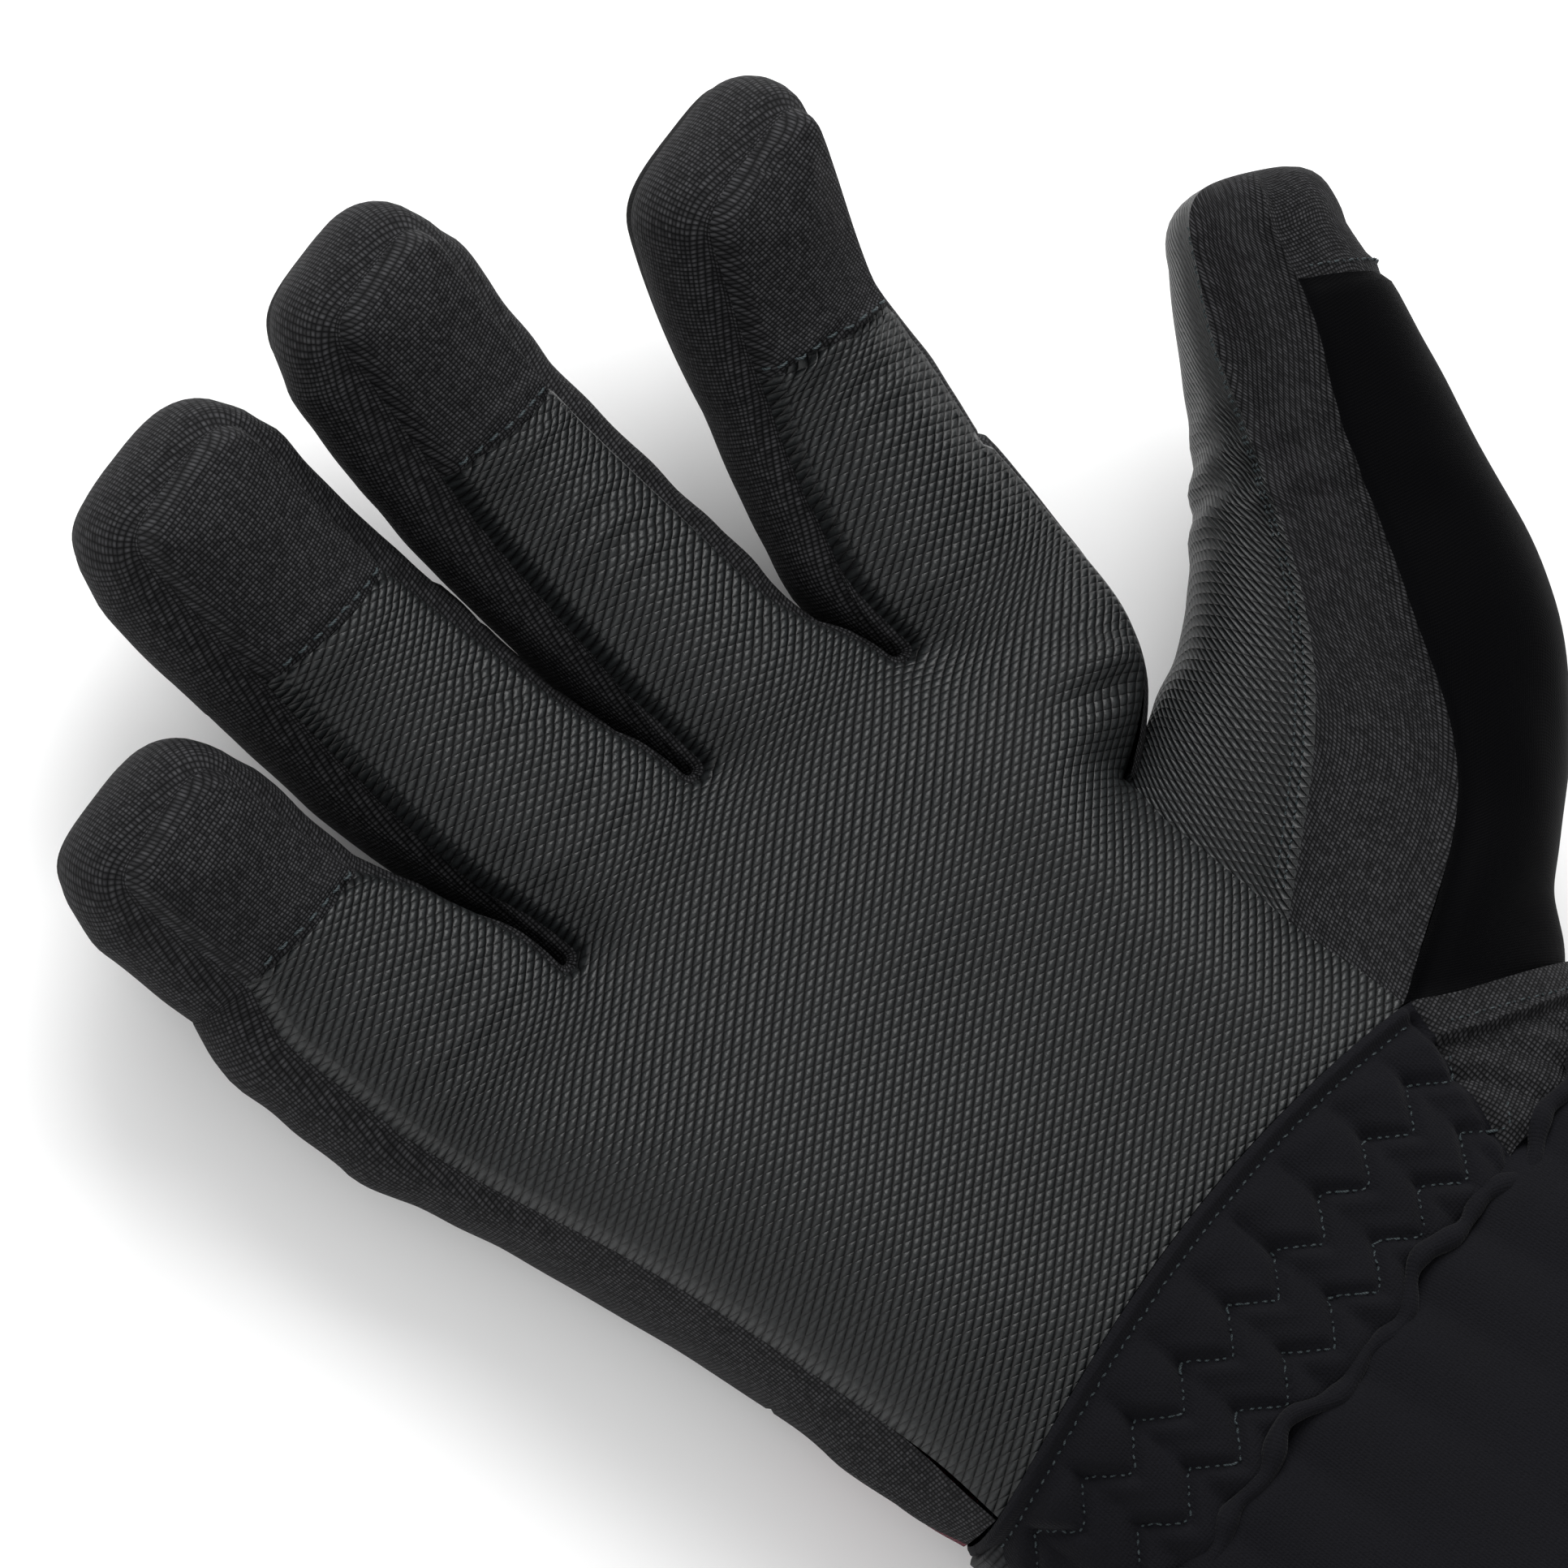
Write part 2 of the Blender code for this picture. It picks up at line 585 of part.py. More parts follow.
def build_wrist(hand):
    """Gathered band between the hand and the cuff, with its elastic behind it and a strap over the back."""
    pivot = at(WRIST_X, WRIST_HINGE_Y, WRIST_Z)
    last = wrist_ring(WRIST_HINGE_Y, WRIST_HALF_WIDTH, WRIST_HALF_HEIGHT, WRIST_Z)
    last.cut = wedge(pivot, last.up, WRIST_RANGE, 0.5, 1.0)
    rings = [wrist_ring(y, WRIST_HALF_WIDTH, WRIST_HALF_HEIGHT, WRIST_Z)
             for y in (WRIST_SEAM_Y - SEAM_GAP, 1.0)] + [last]
    angles, panels = seam_columns(WRIST_SEAMS, 8)

    def grid(inset):
        return follow_wrist_seam(ring_grid(rings, angles, inset))

    outer, inner = grid(0.0), grid(SHELL)
    names, finishes = ("wrist_panel", "wrist_gusset"), ("brushed", "oxford")
    for number, name in enumerate(names):
        shell(name, finishes[number], hand, outer, inner,
              lambda row, column, number=number: panels[column] == number)
    elastic = [wrist_ring(y, WRIST_HALF_WIDTH, WRIST_HALF_HEIGHT, WRIST_Z) for y in (0.5, -6.5)]
    shell("wrist_elastic", "elastic", hand, ring_grid(elastic, angles, SHELL + SEAM_GAP),
          ring_grid(elastic, angles, SHELL + SEAM_GAP + 1.0), lambda row, column: True)
    build_strap(hand)


def build_strap(hand):
    """Flat webbing, sewn at the little-finger side and laid over the back of the wrist."""
    angles = spread(188.0, 318.0, 12)
    rings = [wrist_ring(y, WRIST_HALF_WIDTH, WRIST_HALF_HEIGHT, WRIST_Z) for y in (2.0, -8.0)]
    outer = ring_grid(rings, angles, -SEAM_GAP - STRAP_THICK)
    inner = ring_grid(rings, angles, -SEAM_GAP)
    shell("wrist_strap", "webbing", hand, outer, inner, lambda row, column: True, ring=False)


def cuff_ring(share):
    """A ring of the cuff, from 0 at the bending line to 1 at the hem, where its underside is on the floor."""
    flare = share * (0.72 + 0.28 * share)
    half_height = WRIST_HALF_HEIGHT + (CUFF_HALF_HEIGHT - WRIST_HALF_HEIGHT) * flare
    bottom = (WRIST_Z - WRIST_HALF_HEIGHT) * (1.0 - share)
    y = WRIST_HINGE_Y + (HEM_Y - WRIST_HINGE_Y) * share
    half_width = WRIST_HALF_WIDTH + (CUFF_HALF_WIDTH - WRIST_HALF_WIDTH) * flare
    return wrist_ring(y, half_width, half_height, bottom + half_height)


def build_cuff(hand):
    pivot = at(WRIST_X, WRIST_HINGE_Y, WRIST_Z)
    cuff = make_joint("wrist", pivot, hand)
    angles, panels = seam_columns((14.0, 166.0), 8)

    def cut_ring(extra):
        ring = wrist_ring(WRIST_HINGE_Y - extra, WRIST_HALF_WIDTH, WRIST_HALF_HEIGHT, WRIST_Z)
        ring.cut = wedge(pivot, ring.up, WRIST_RANGE, 0.5, -1.0)
        return ring

    piping = [cut_ring(0.0), cut_ring(2.6)]
    shell("cuff_piping", "softshell", cuff, ring_grid(piping, angles, -0.9), ring_grid(piping, angles, SHELL),
          lambda row, column: True)
    rings = [cut_ring(2.6 + SEAM_GAP)] + [cuff_ring(share) for share in (0.3, 0.62, 1.0)]
    outer, inner = ring_grid(rings, angles, 0.0), ring_grid(rings, angles, SHELL)
    shell("cuff_palm_panel", "brushed", cuff, outer, inner, lambda row, column: panels[column] == 0)
    shell("cuff_back_panel", "brushed", cuff, outer, inner, lambda row, column: panels[column] == 1)
    shell("cuff_lining", "lining", cuff, ring_grid(rings, angles, SHELL + 1.0),
          ring_grid(rings, angles, SHELL + 2.4), lambda row, column: True)


GLOVE = start_scene()
HAND = make_joint("hand", at(PALM_X, PALM_Y, 0.0))
build_hand(HAND)
build_wrist(HAND)
build_cuff(HAND)
for finger_name in FINGERS:
    build_finger(finger_name, HAND)
build_thumb(HAND)
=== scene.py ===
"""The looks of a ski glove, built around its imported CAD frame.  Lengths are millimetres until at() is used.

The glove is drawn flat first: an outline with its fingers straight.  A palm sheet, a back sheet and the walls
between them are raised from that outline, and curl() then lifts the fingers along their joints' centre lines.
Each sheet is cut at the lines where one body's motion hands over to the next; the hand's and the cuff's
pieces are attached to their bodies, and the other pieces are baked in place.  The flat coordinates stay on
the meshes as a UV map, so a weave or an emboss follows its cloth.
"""
import json
import math

import bpy
import numpy as np
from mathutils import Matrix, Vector, geometry, noise


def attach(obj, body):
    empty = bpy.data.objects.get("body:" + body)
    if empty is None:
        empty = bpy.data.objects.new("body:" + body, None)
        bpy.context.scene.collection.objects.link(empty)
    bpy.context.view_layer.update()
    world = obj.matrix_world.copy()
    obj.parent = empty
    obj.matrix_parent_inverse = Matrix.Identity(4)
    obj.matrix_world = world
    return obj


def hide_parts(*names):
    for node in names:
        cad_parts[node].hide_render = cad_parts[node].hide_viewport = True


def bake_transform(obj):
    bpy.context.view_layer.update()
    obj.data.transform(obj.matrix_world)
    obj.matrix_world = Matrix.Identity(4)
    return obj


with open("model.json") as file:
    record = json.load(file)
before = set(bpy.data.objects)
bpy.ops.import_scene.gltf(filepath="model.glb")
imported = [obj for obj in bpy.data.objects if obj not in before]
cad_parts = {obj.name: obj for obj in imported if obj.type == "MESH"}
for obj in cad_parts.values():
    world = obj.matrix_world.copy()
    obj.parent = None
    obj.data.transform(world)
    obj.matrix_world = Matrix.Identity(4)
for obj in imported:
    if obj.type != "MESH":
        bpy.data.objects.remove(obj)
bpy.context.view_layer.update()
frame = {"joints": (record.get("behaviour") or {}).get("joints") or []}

# ---------------------------------------------------------------- driving dimensions, millimetres
MM = 0.001
JOINTS = {joint["name"]: joint for joint in frame["joints"]}
PALM_X, PALM_Y = -15.0, 45.0          # the row origin in drawing coordinates, as in the CAD
HINGE_RISE = 4.0                      # a finger's bending line above its centre
CENTRE_Z = 17.0                       # centre height of a finger at its knuckle

POINT_STEP = 1.25                     # spacing along the outline
SHEET_STEP = 1.55                     # spacing inside a sheet
WALL_ROWS = 11

CROTCH_GAP = 3.0
CROTCHES = ((-38.6, 92.0), (-9.0, 96.0), (21.4, 85.8))     # little-ring, ring-middle, middle-index
# name, yaw, near and far length, pitch and tip pitch, cap seam past the middle joint and its slope,
# half width at the seam, how much wider than a plain finger
DIGITS = (
    ("little", -8.5, 17.5, 37.8, 8.0, 28.0, 9.0, -0.03, 10.0, 1.7),
    ("ring", -2.8, 22.5, 54.8, 6.0, 26.0, 23.0, -0.05, 10.6, 0.7),
    ("middle", 1.9, 25.0, 54.4, 8.0, 30.0, 23.0, -0.12, 9.3, -1.2),
    ("index", 15.3, 22.0, 46.0, 10.0, 36.0, 14.0, -0.34, 10.6, 0.9),
)
PLAIN_HALF_WIDTHS = (13.2, 12.6, 11.6)   # a finger's half width at its root, its knuckle and its middle joint
ULNAR_EDGE = ((-57.4, 5.9), (-57.2, 18.0), (-58.6, 32.0), (-60.8, 48.0), (-63.8, 64.0),
              (-67.0, 80.0), (-69.4, 94.0))
WEB_EDGE = ((50.5, 95.0), (49.7, 85.0), (47.7, 75.0), (44.9, 66.5), (40.5, 60.0), (35.0, 55.8), (28.5, 52.5))
THUMB_SEAM = ((28.5, 52.5), (26.0, 47.0), (25.0, 38.0), (25.0, 26.0), (25.2, 8.2))
WRIST_SEAM_Y, WRIST_SEAM_X, WRIST_SEAM_CURVE = 12.2, -12.0, 0.00305

WRIST_X, WRIST_Z, WRIST_HALF_WIDTH, WRIST_HALF_HEIGHT = -5.3, 22.2, 54.0, 19.4
RING_POWER = 2.5


def at(points):
    """Drawing millimetres to row-frame metres."""
    points = np.asarray(points, float)
    return (points - np.array([PALM_X, PALM_Y, 0.0])) * MM


def smooth(value):
    value = np.clip(value, 0.0, 1.0)
    return value * value * (3.0 - 2.0 * value)


def lerp(a, b, share):
    return a + (b - a) * share


def bell(value, centre, width):
    """A smooth mound of height 1 round a centre."""
    return np.exp(-((value - centre) / width) ** 2)


def cloth_noise(x, y, scale, seed):
    """Smooth noise in about -1..1 at flat places on a cloth, of the given wavelength."""
    shift = Vector((seed * 17.3, seed * 5.1, seed * 11.7))
    return np.array([noise.noise(Vector((u, v, 0.0)) / scale + shift) for u, v in zip(x, y)])


def unit(vectors):
    return vectors / (np.linalg.norm(vectors, axis=1)[:, None] + 1e-12)


def squared(angles, power):
    """Cosine and sine of angles, raised to a power; below 1 it squares off an ellipse."""
    return [np.sign(way(angles)) * np.abs(way(angles)) ** power for way in (np.cos, np.sin)]


def run_length(line):
    """Distance along a line at each of its points."""
    return np.concatenate([[0.0], np.cumsum(np.linalg.norm(np.diff(line, axis=0), axis=1))])


def read_off(values, lengths, spots):
    """Rows of values known at the given lengths, read off at other spots."""
    return np.stack([np.interp(spots, lengths, column) for column in values.T], axis=1)


def spline_point(a, b, c, d, share):
    """A point between b and c of the smooth line through a, b, c and d."""
    return 0.5 * (2 * b + (c - a) * share + (2 * a - 5 * b + 4 * c - d) * share**2
                  + (3 * b - a - 3 * c + d) * share**3)


def catmull(points, step):
    """A smooth line through given points, resampled at even steps."""
    points = [np.array(point, float) for point in points]
    padded = [2 * points[0] - points[1], *points, 2 * points[-1] - points[-2]]
    dense = [spline_point(*four, share) for four in zip(padded, padded[1:], padded[2:], padded[3:])
             for share in np.linspace(0.0, 1.0, 24, endpoint=False)]
    return resample(np.array(dense + [points[-1]]), step)


def resample(line, step):
    lengths = run_length(line)
    count = max(2, int(round(lengths[-1] / step)) + 1)
    return read_off(line, lengths, np.linspace(0.0, lengths[-1], count))


# ---------------------------------------------------------------- the digits' centre lines
class Digit:
    """A finger: its bending centre line, and its widths along it."""

    def __init__(self, name, yaw, near, far, pitch, tip_pitch, cap, cap_slope, cap_half, wider):
        self.name, self.yaw, self.wider = name, math.radians(yaw), wider
        self.near, self.far, self.length = near, far, near + far
        self.pitch, self.tip_pitch = math.radians(pitch), math.radians(tip_pitch)
        self.cap, self.cap_slope, self.cap_half = near + cap, cap_slope, cap_half
        hinge = JOINTS[name + "_knuckle"]["pos_m"]
        self.x = hinge[0] / MM + PALM_X
        self.y = hinge[1] / MM + PALM_Y + HINGE_RISE * math.sin(self.pitch)
        self.line = self.centre_line()

    def pitch_at(self, along):
        early = self.pitch * smooth((along + 14.0) / 16.0)
        return early + (self.tip_pitch - self.pitch) * smooth((along - self.near) / (self.far * 0.75))

    def centre_line(self):
        """Tables of distance, y, z and pitch of the centre, from well inside the palm to past the tip."""
        along = np.linspace(-110.0, self.length + 12.0, 900)
        pitch = self.pitch_at(along)
        stride = along[1] - along[0]
        y = np.cumsum(np.cos(pitch)) * stride * math.cos(self.yaw)
        z = np.cumsum(np.sin(pitch)) * stride
        y += self.y - np.interp(0.0, along, y)
        z += CENTRE_Z - z[0]
        return along, y, z, pitch

    def distance(self, y):
        return (y - self.y) / math.cos(self.yaw)

    def flat_y(self, along):
        return self.y + along * math.cos(self.yaw)

    def centre_x(self, y):
        return self.x + (y - self.y) * math.tan(self.yaw)

    def half_width(self, along):
        spots = (-12.0, 0.0, self.near, self.cap, self.length)
        widths = [width + self.wider for width in PLAIN_HALF_WIDTHS] + [self.cap_half, self.cap_half - 0.2]
        return np.interp(along, spots, widths)

    def place(self, x, y, z):
        along, line_y, line_z, line_pitch = self.line
        distance = self.distance(y)
        pitch = np.interp(distance, along, line_pitch)
        height = z - CENTRE_Z
        return np.stack([x, np.interp(distance, along, line_y) - np.sin(pitch) * height,
                         np.interp(distance, along, line_z) + np.cos(pitch) * height], axis=1)


DIGIT = {row[0]: Digit(*row) for row in DIGITS}
ORDER = [row[0] for row in DIGITS]


def between(number, y):
    """x of the line between two neighbouring fingers: through their crotch, then halfway between them."""
    crotch_x, crotch_y = CROTCHES[number]
    middle = (DIGIT[ORDER[number]].centre_x(y) + DIGIT[ORDER[number + 1]].centre_x(y)) / 2.0
    return lerp(crotch_x, middle, smooth((y - crotch_y) / 12.0))


def shares(x, y):
    """How much each digit's centre line carries a flat point: all of one in a finger, mixed near a crotch."""
    steps = []
    for number, (_, crotch_y) in enumerate(CROTCHES):
        half = 5.0 * (1.0 - smooth((y - crotch_y + 2.0) / 6.0)) + 0.02
        steps.append(smooth((x - between(number, y)) / (2.0 * half) + 0.5))
    first, second, third = steps
    return [1.0 - first, first * (1.0 - second), first * second * (1.0 - third), first * second * third]


def curl(x, y, z):
    x, y, z = (np.asarray(value, float) for value in (x, y, z))
    total = np.zeros((len(x), 3))
    for share, name in zip(shares(x, y), ORDER):
        total += share[:, None] * DIGIT[name].place(x, y, z)
    return total


# ---------------------------------------------------------------- heights of the palm, the back and the walls
THUMB_LINE = catmull(THUMB_SEAM, 1.0)


def finger_share(y):
    return smooth((y - 58.0) / 30.0)


def wrist_share(y):
    return smooth((26.0 - y) / 18.0)


def ring_half(height):
    """Half width of the wrist's ring at a height; ring_rise gives its height at a place across."""
    ratio = np.clip(np.abs(height - WRIST_Z) / WRIST_HALF_HEIGHT, 0.0, 1.0)
    return WRIST_HALF_WIDTH * (1.0 - ratio**RING_POWER) ** (1.0 / RING_POWER)


def ring_rise(x):
    ratio = np.clip(np.abs(x - WRIST_X) / WRIST_HALF_WIDTH, 0.0, 1.0)
    return WRIST_HALF_HEIGHT * (1.0 - ratio**RING_POWER) ** (1.0 / RING_POWER)


def palm_seam_z(y):
    return lerp(29.0, 24.6, finger_share(y))


def back_seam_z(y):
    return lerp(9.5, 10.5, finger_share(y)) + 3.5 * smooth((40.0 - y) / 14.0)


def by_ulnar_wrist(x, y):
    """Where the little-finger edge runs into the wrist's ring."""
    return (x < -40.0) & (y < 45.0)


def crown(distance, reach, power=2.2):
    """Rises steeply from a seam and levels out at its reach."""
    left = 1.0 - np.clip(distance / reach, 0.0, 1.0)
    return (1.0 - left**power) ** (1.0 / power)


def bump(x, y, centre, size, turn=0.0):
    """A smooth mound on the flat plan."""
    cosine, sine = math.cos(turn), math.sin(turn)
    dx, dy = x - centre[0], y - centre[1]
    u, v = (dx * cosine + dy * sine) / size[0], (dy * cosine - dx * sine) / size[1]
    return np.exp(-(u * u + v * v))


def palm_z(x, y, distance):
    share = finger_share(y)
    height = lerp(10.0, 6.3, share) * crown(distance, lerp(20.0, 11.5, share), 2.0)
    height += 2.2 * bump(x, y, (12.0, 26.0), (16.0, 22.0)) * crown(distance, 14.0)
    height += 1.6 * bump(x, y, (-44.0, 34.0), (14.0, 26.0)) * crown(distance, 14.0)
    height -= 2.2 * bump(x, y, (-14.0, 50.0), (26.0, 16.0), -0.5)
    z = palm_seam_z(y) + height
    to_thumb = distance_to(np.stack([x, y], axis=1), THUMB_LINE)
    z -= 3.4 * (1.0 - smooth(to_thumb / 15.0)) + 1.3 * bell(to_thumb, 0.0, 1.3)
    return lerp(z, WRIST_Z + ring_rise(x), wrist_share(y))


def back_z(x, y, distance):
    share = finger_share(y)
    height = lerp(9.5, 5.9, share) * crown(distance, lerp(15.0, 12.0, share), 2.0)
    height = np.minimum(height, back_seam_z(y) - lerp(0.05, 4.6, share))
    return lerp(back_seam_z(y) - height, WRIST_Z - ring_rise(x), wrist_share(y))


# ---------------------------------------------------------------- the flat outline
def finger_edge(digit, side, crotch, ys):
    """x of one edge of a finger at flat heights ys; at a crotch it starts half a gap from its middle."""
    outer = digit.centre_x(ys) + side * digit.half_width(digit.distance(ys))
    if crotch is None:
        return outer
    start = crotch[0] - side * CROTCH_GAP / 2.0
    return lerp(start, outer, smooth((ys - crotch[1]) / 20.0))


def stations(low, high, specials):
    count = max(3, int(round((high - low) / POINT_STEP)))
    ys = [y for y in np.linspace(low, high, count)
          if all(abs(y - special) > 0.45 * POINT_STEP for special in specials)]
    return np.array(sorted(ys + [special for special in specials if low < special < high]))


TIP_LENGTH = 6.0
TIP_OUT = 3.0
TIP_POWER = 0.56                      # below 1, the tip is blunter than an ellipse


def tip_start(digit):
    return digit.flat_y(digit.length - TIP_OUT) - TIP_LENGTH


def cap_y(digit, x):
    """Flat y of the seam between the grip and the cap."""
    y = digit.flat_y(digit.cap)
    return y + digit.cap_slope * (x - digit.centre_x(y))


def back_cap_y(digit):
    return digit.flat_y(digit.length - 14.0)


def split_y(digit):
    """Flat y where a finger's first piece hands over to its second, between the two bending zones."""
    return digit.flat_y(digit.near) - 10.0


class Outline:
    """Points round the glove, clockwise from the wrist's little-finger corner, and whose each one is."""

    def __init__(self):
        self.points, self.digit, self.marks = [], [], {}

    def add(self, points, digit):
        for point in points:
            if self.points and np.linalg.norm(np.array(point) - self.points[-1]) < 0.2:
                continue
            self.points.append(np.array(point, float))
            self.digit.append(digit)

    def mark(self, name):
        self.marks[name] = len(self.points) - 1


def add_finger(outline, name, left_crotch, right_crotch, low_left, low_right):
    digit = DIGIT[name]
    top, cut = tip_start(digit), split_y(digit)
    for side, crotch, low in ((-1, left_crotch, low_left), (1, right_crotch, low_right)):
        guess = digit.flat_y(digit.cap)
        cap = cap_y(digit, digit.centre_x(guess) + side * digit.cap_half)
        ys = stations(low, top, [cut, cap, back_cap_y(digit)])
        if side > 0:
            ys = ys[::-1]
        xs = finger_edge(digit, side, crotch, ys)
        for x, y in zip(xs, ys):
            outline.add([(x, y)], name)
            for label, value in (("cut", cut), ("cap", cap)):
                if abs(y - value) < 1e-9:
                    outline.mark(f"{name}_{label}_{side}")
        if side < 0:
            half, centre = digit.half_width(digit.length), digit.centre_x(top)
            for angle in np.linspace(math.pi, 0.0, 26)[1:-1]:
                reach = math.copysign(abs(math.cos(angle)) ** TIP_POWER, math.cos(angle))
                rise = TIP_LENGTH * math.sin(angle) ** TIP_POWER * (1.0 + 0.16 * reach)
                outline.add([(centre + half * reach + rise * math.tan(digit.yaw), top + rise)], name)


def add_crotch(outline, number):
    x, y = CROTCHES[number]
    for angle in np.linspace(math.pi, 2.0 * math.pi, 7)[1:-1]:
        outline.add([(x + CROTCH_GAP / 2 * math.cos(angle), y + CROTCH_GAP / 2 * math.sin(angle))], "hand")
        if abs(angle - 1.5 * math.pi) < 1e-6:
            outline.mark(f"crotch_{number}")


def glove_outline():
    outline = Outline()
    outline.add(catmull(ULNAR_EDGE, POINT_STEP), "hand")
    outline.mark("ulnar_top")
    add_finger(outline, "little", None, CROTCHES[0], 95.2, CROTCHES[0][1])
    add_crotch(outline, 0)
    add_finger(outline, "ring", CROTCHES[0], CROTCHES[1], CROTCHES[0][1], CROTCHES[1][1])
    add_crotch(outline, 1)
    add_finger(outline, "middle", CROTCHES[1], CROTCHES[2], CROTCHES[1][1], CROTCHES[2][1])
    add_crotch(outline, 2)
    add_finger(outline, "index", CROTCHES[2], None, CROTCHES[2][1], 96.2)
    outline.add(catmull(WEB_EDGE, POINT_STEP), "hand")
    outline.mark("web_end")
    outline.add(catmull(THUMB_SEAM, POINT_STEP)[1:], "hand")
    outline.mark("wrist_thumb")
    corner, other = outline.points[-1], outline.points[0]
    for x in np.linspace(corner[0], other[0], int(abs(corner[0] - other[0]) / POINT_STEP))[1:-1]:
        outline.add([(x, wrist_seam_y(x))], "hand")
    outline.points = np.array(outline.points)
    return outline


def wrist_seam_y(x):
    return WRIST_SEAM_Y - WRIST_SEAM_CURVE * (x - WRIST_SEAM_X) ** 2


def outward(points, last):
    """Unit normals that point out of the outline, for its sewn part."""
    ahead = np.roll(points, -1, axis=0)
    behind = np.roll(points, 1, axis=0)
    ahead[last], behind[0] = points[last], points[0]
    along = ahead - behind
    along /= np.linalg.norm(along, axis=1)[:, None] + 1e-9
    return np.stack([-along[:, 1], along[:, 0]], axis=1)


def reach_out(outline, last):
    """How far the wall may stand out from the palm seam, which between two fingers is under half the gap."""
    points = outline.points[: last + 1]
    y = points[:, 1]
    widest = np.where(points[:, 0] > 20.0, 3.4, 5.2)
    reach = lerp(2.6, widest, smooth((y - 70.0) / 30.0))
    for number, (left, right) in enumerate(zip(ORDER, ORDER[1:])):
        crotch = CROTCHES[number]
        gap = (finger_edge(DIGIT[right], -1, crotch, y) - finger_edge(DIGIT[left], 1, crotch, y))
        shorter = min(DIGIT[name].flat_y(DIGIT[name].length) for name in (left, right))
        gap = np.maximum(gap, 1.6) + 14.0 * smooth((y - shorter + 4.0) / 8.0)
        close = np.array([digit in (left, right) or (digit == "hand" and abs(x - crotch[0]) < 24.0)
                          for x, digit in zip(points[:, 0], outline.digit[: last + 1])])
        toward = np.where(points[:, 0] < between(number, y), 1.0, -1.0)
        inner = close & (y > crotch[1] - 3.0)
        centre = np.array([DIGIT[digit].centre_x(value) if digit in DIGIT else crotch[0] - 50.0 * side
                           for digit, value, side in zip(outline.digit, y, toward)])
        inner &= (points[:, 0] - centre) * toward > 0.0
        limit = np.where(y > crotch[1], (0.34 if number == 0 else 0.4) * gap, 0.44 * CROTCH_GAP)
        reach = np.where(inner, np.minimum(reach, limit), reach)
    for digit in DIGIT.values():
        at_tip = smooth((y - tip_start(digit) + 2.0) / 5.0)
        on_digit = np.array([name == digit.name for name in outline.digit[: last + 1]])
        reach = np.where(on_digit, lerp(reach, TIP_OUT, at_tip), reach)
    kernel = np.ones(5) / 5.0
    padded = np.concatenate([[reach[0]] * 2, reach, [reach[-1]] * 2])
    return np.convolve(padded, kernel, "valid")


OUTLINE = glove_outline()
LAST = OUTLINE.marks["web_end"]
NORMALS = outward(OUTLINE.points, LAST)
REACH = reach_out(OUTLINE, LAST)


def back_offset():
    """How far the back's outline stands outside the palm's; at the wrist both lie on the wrist's ring."""
    x, y = OUTLINE.points[: LAST + 1].T
    offset = 0.55 * REACH
    on_ring = x - (WRIST_X - ring_half(back_seam_z(y)))
    return np.where(by_ulnar_wrist(x, y), lerp(offset, on_ring, wrist_share(y)), offset)


BACK_OFFSET = back_offset()
BACK_POINTS = OUTLINE.points.copy()
BACK_POINTS[: LAST + 1] += NORMALS[: LAST + 1] * BACK_OFFSET[:, None]


# ---------------------------------------------------------------- meshes
UV_SCALE = 0.01                       # UV units in a millimetre of cloth


def make_piece(name, points, faces, uvs, material, normals=None):
    """A named, smooth-shaded object that keeps its flat coordinates as a UV map."""
    mesh = bpy.data.meshes.new(name)
    mesh.from_pydata([tuple(point) for point in at(points)], [],
                     [tuple(int(index) for index in face) for face in faces])
    mesh.validate()
    layer = mesh.uv_layers.new(name="flat")
    corners = np.zeros(len(mesh.loops), int)
    mesh.loops.foreach_get("vertex_index", corners)
    layer.data.foreach_set("uv", (np.asarray(uvs, float)[corners] * UV_SCALE).ravel())
    mesh.shade_smooth()
    if normals is not None:
        mesh.normals_split_custom_set_from_vertices([tuple(normal) for normal in normals])
    mesh.materials.append(material)
    piece = bpy.data.objects.new(name, mesh)
    bpy.context.scene.collection.objects.link(piece)
    return piece


def vertex_normals(points, faces):
    """Area-weighted normals of a mesh of triangles or quads."""
    normals = np.zeros_like(points)
    for size in (3, 4):
        group = np.array([face for face in faces if len(face) == size], int)
        if len(group) == 0:
            continue
        a, b, c = points[group[:, 0]], points[group[:, 1]], points[group[:, 2]]
        cross = np.cross(b - a, c - a)
        if size == 4:
            cross += np.cross(c - a, points[group[:, 3]] - a)
        for corner in range(size):
            np.add.at(normals, group[:, corner], cross)
    return unit(normals)


def cut_piece(name, mesh, chosen, material):
    """One piece from the chosen faces of a mesh of points, faces, flat coordinates and normals."""
    points, faces, uvs, normals = mesh
    kept = sorted({index for number in chosen for index in faces[number]})
    renumber = {index: new for new, index in enumerate(kept)}
    own = [[renumber[index] for index in faces[number]] for number in chosen]
    return make_piece(name, points[kept], own, uvs[kept], material, normals[kept])


def grid_faces(rows, columns, around=False, over=False):
    """Quads of a grid of points and each one's (row, column); a grid may close on itself either way."""
    faces, owner = [], []
    for row in range(rows if over else rows - 1):
        for column in range(columns if around else columns - 1):
            corners = ((row, column), (row, column + 1), (row + 1, column + 1), (row + 1, column))
            faces.append([(r % rows) * columns + c % columns for r, c in corners])
            owner.append((row, column))
    return faces, owner


def distance_to(points, line):
    """Distance from plan points to an open polyline."""
    a, b = line[:-1], line[1:]
    best = np.full(len(points), 1e9)
    for start, end in zip(a, b):
        along = end - start
        share = np.clip(((points - start) @ along) / (along @ along + 1e-12), 0.0, 1.0)
        best = np.minimum(best, np.linalg.norm(points - (start + share[:, None] * along), axis=1))
    return best


SEAM_INSETS = (0.5, 1.15, 2.1)        # extra rows of points beside the sewn seam


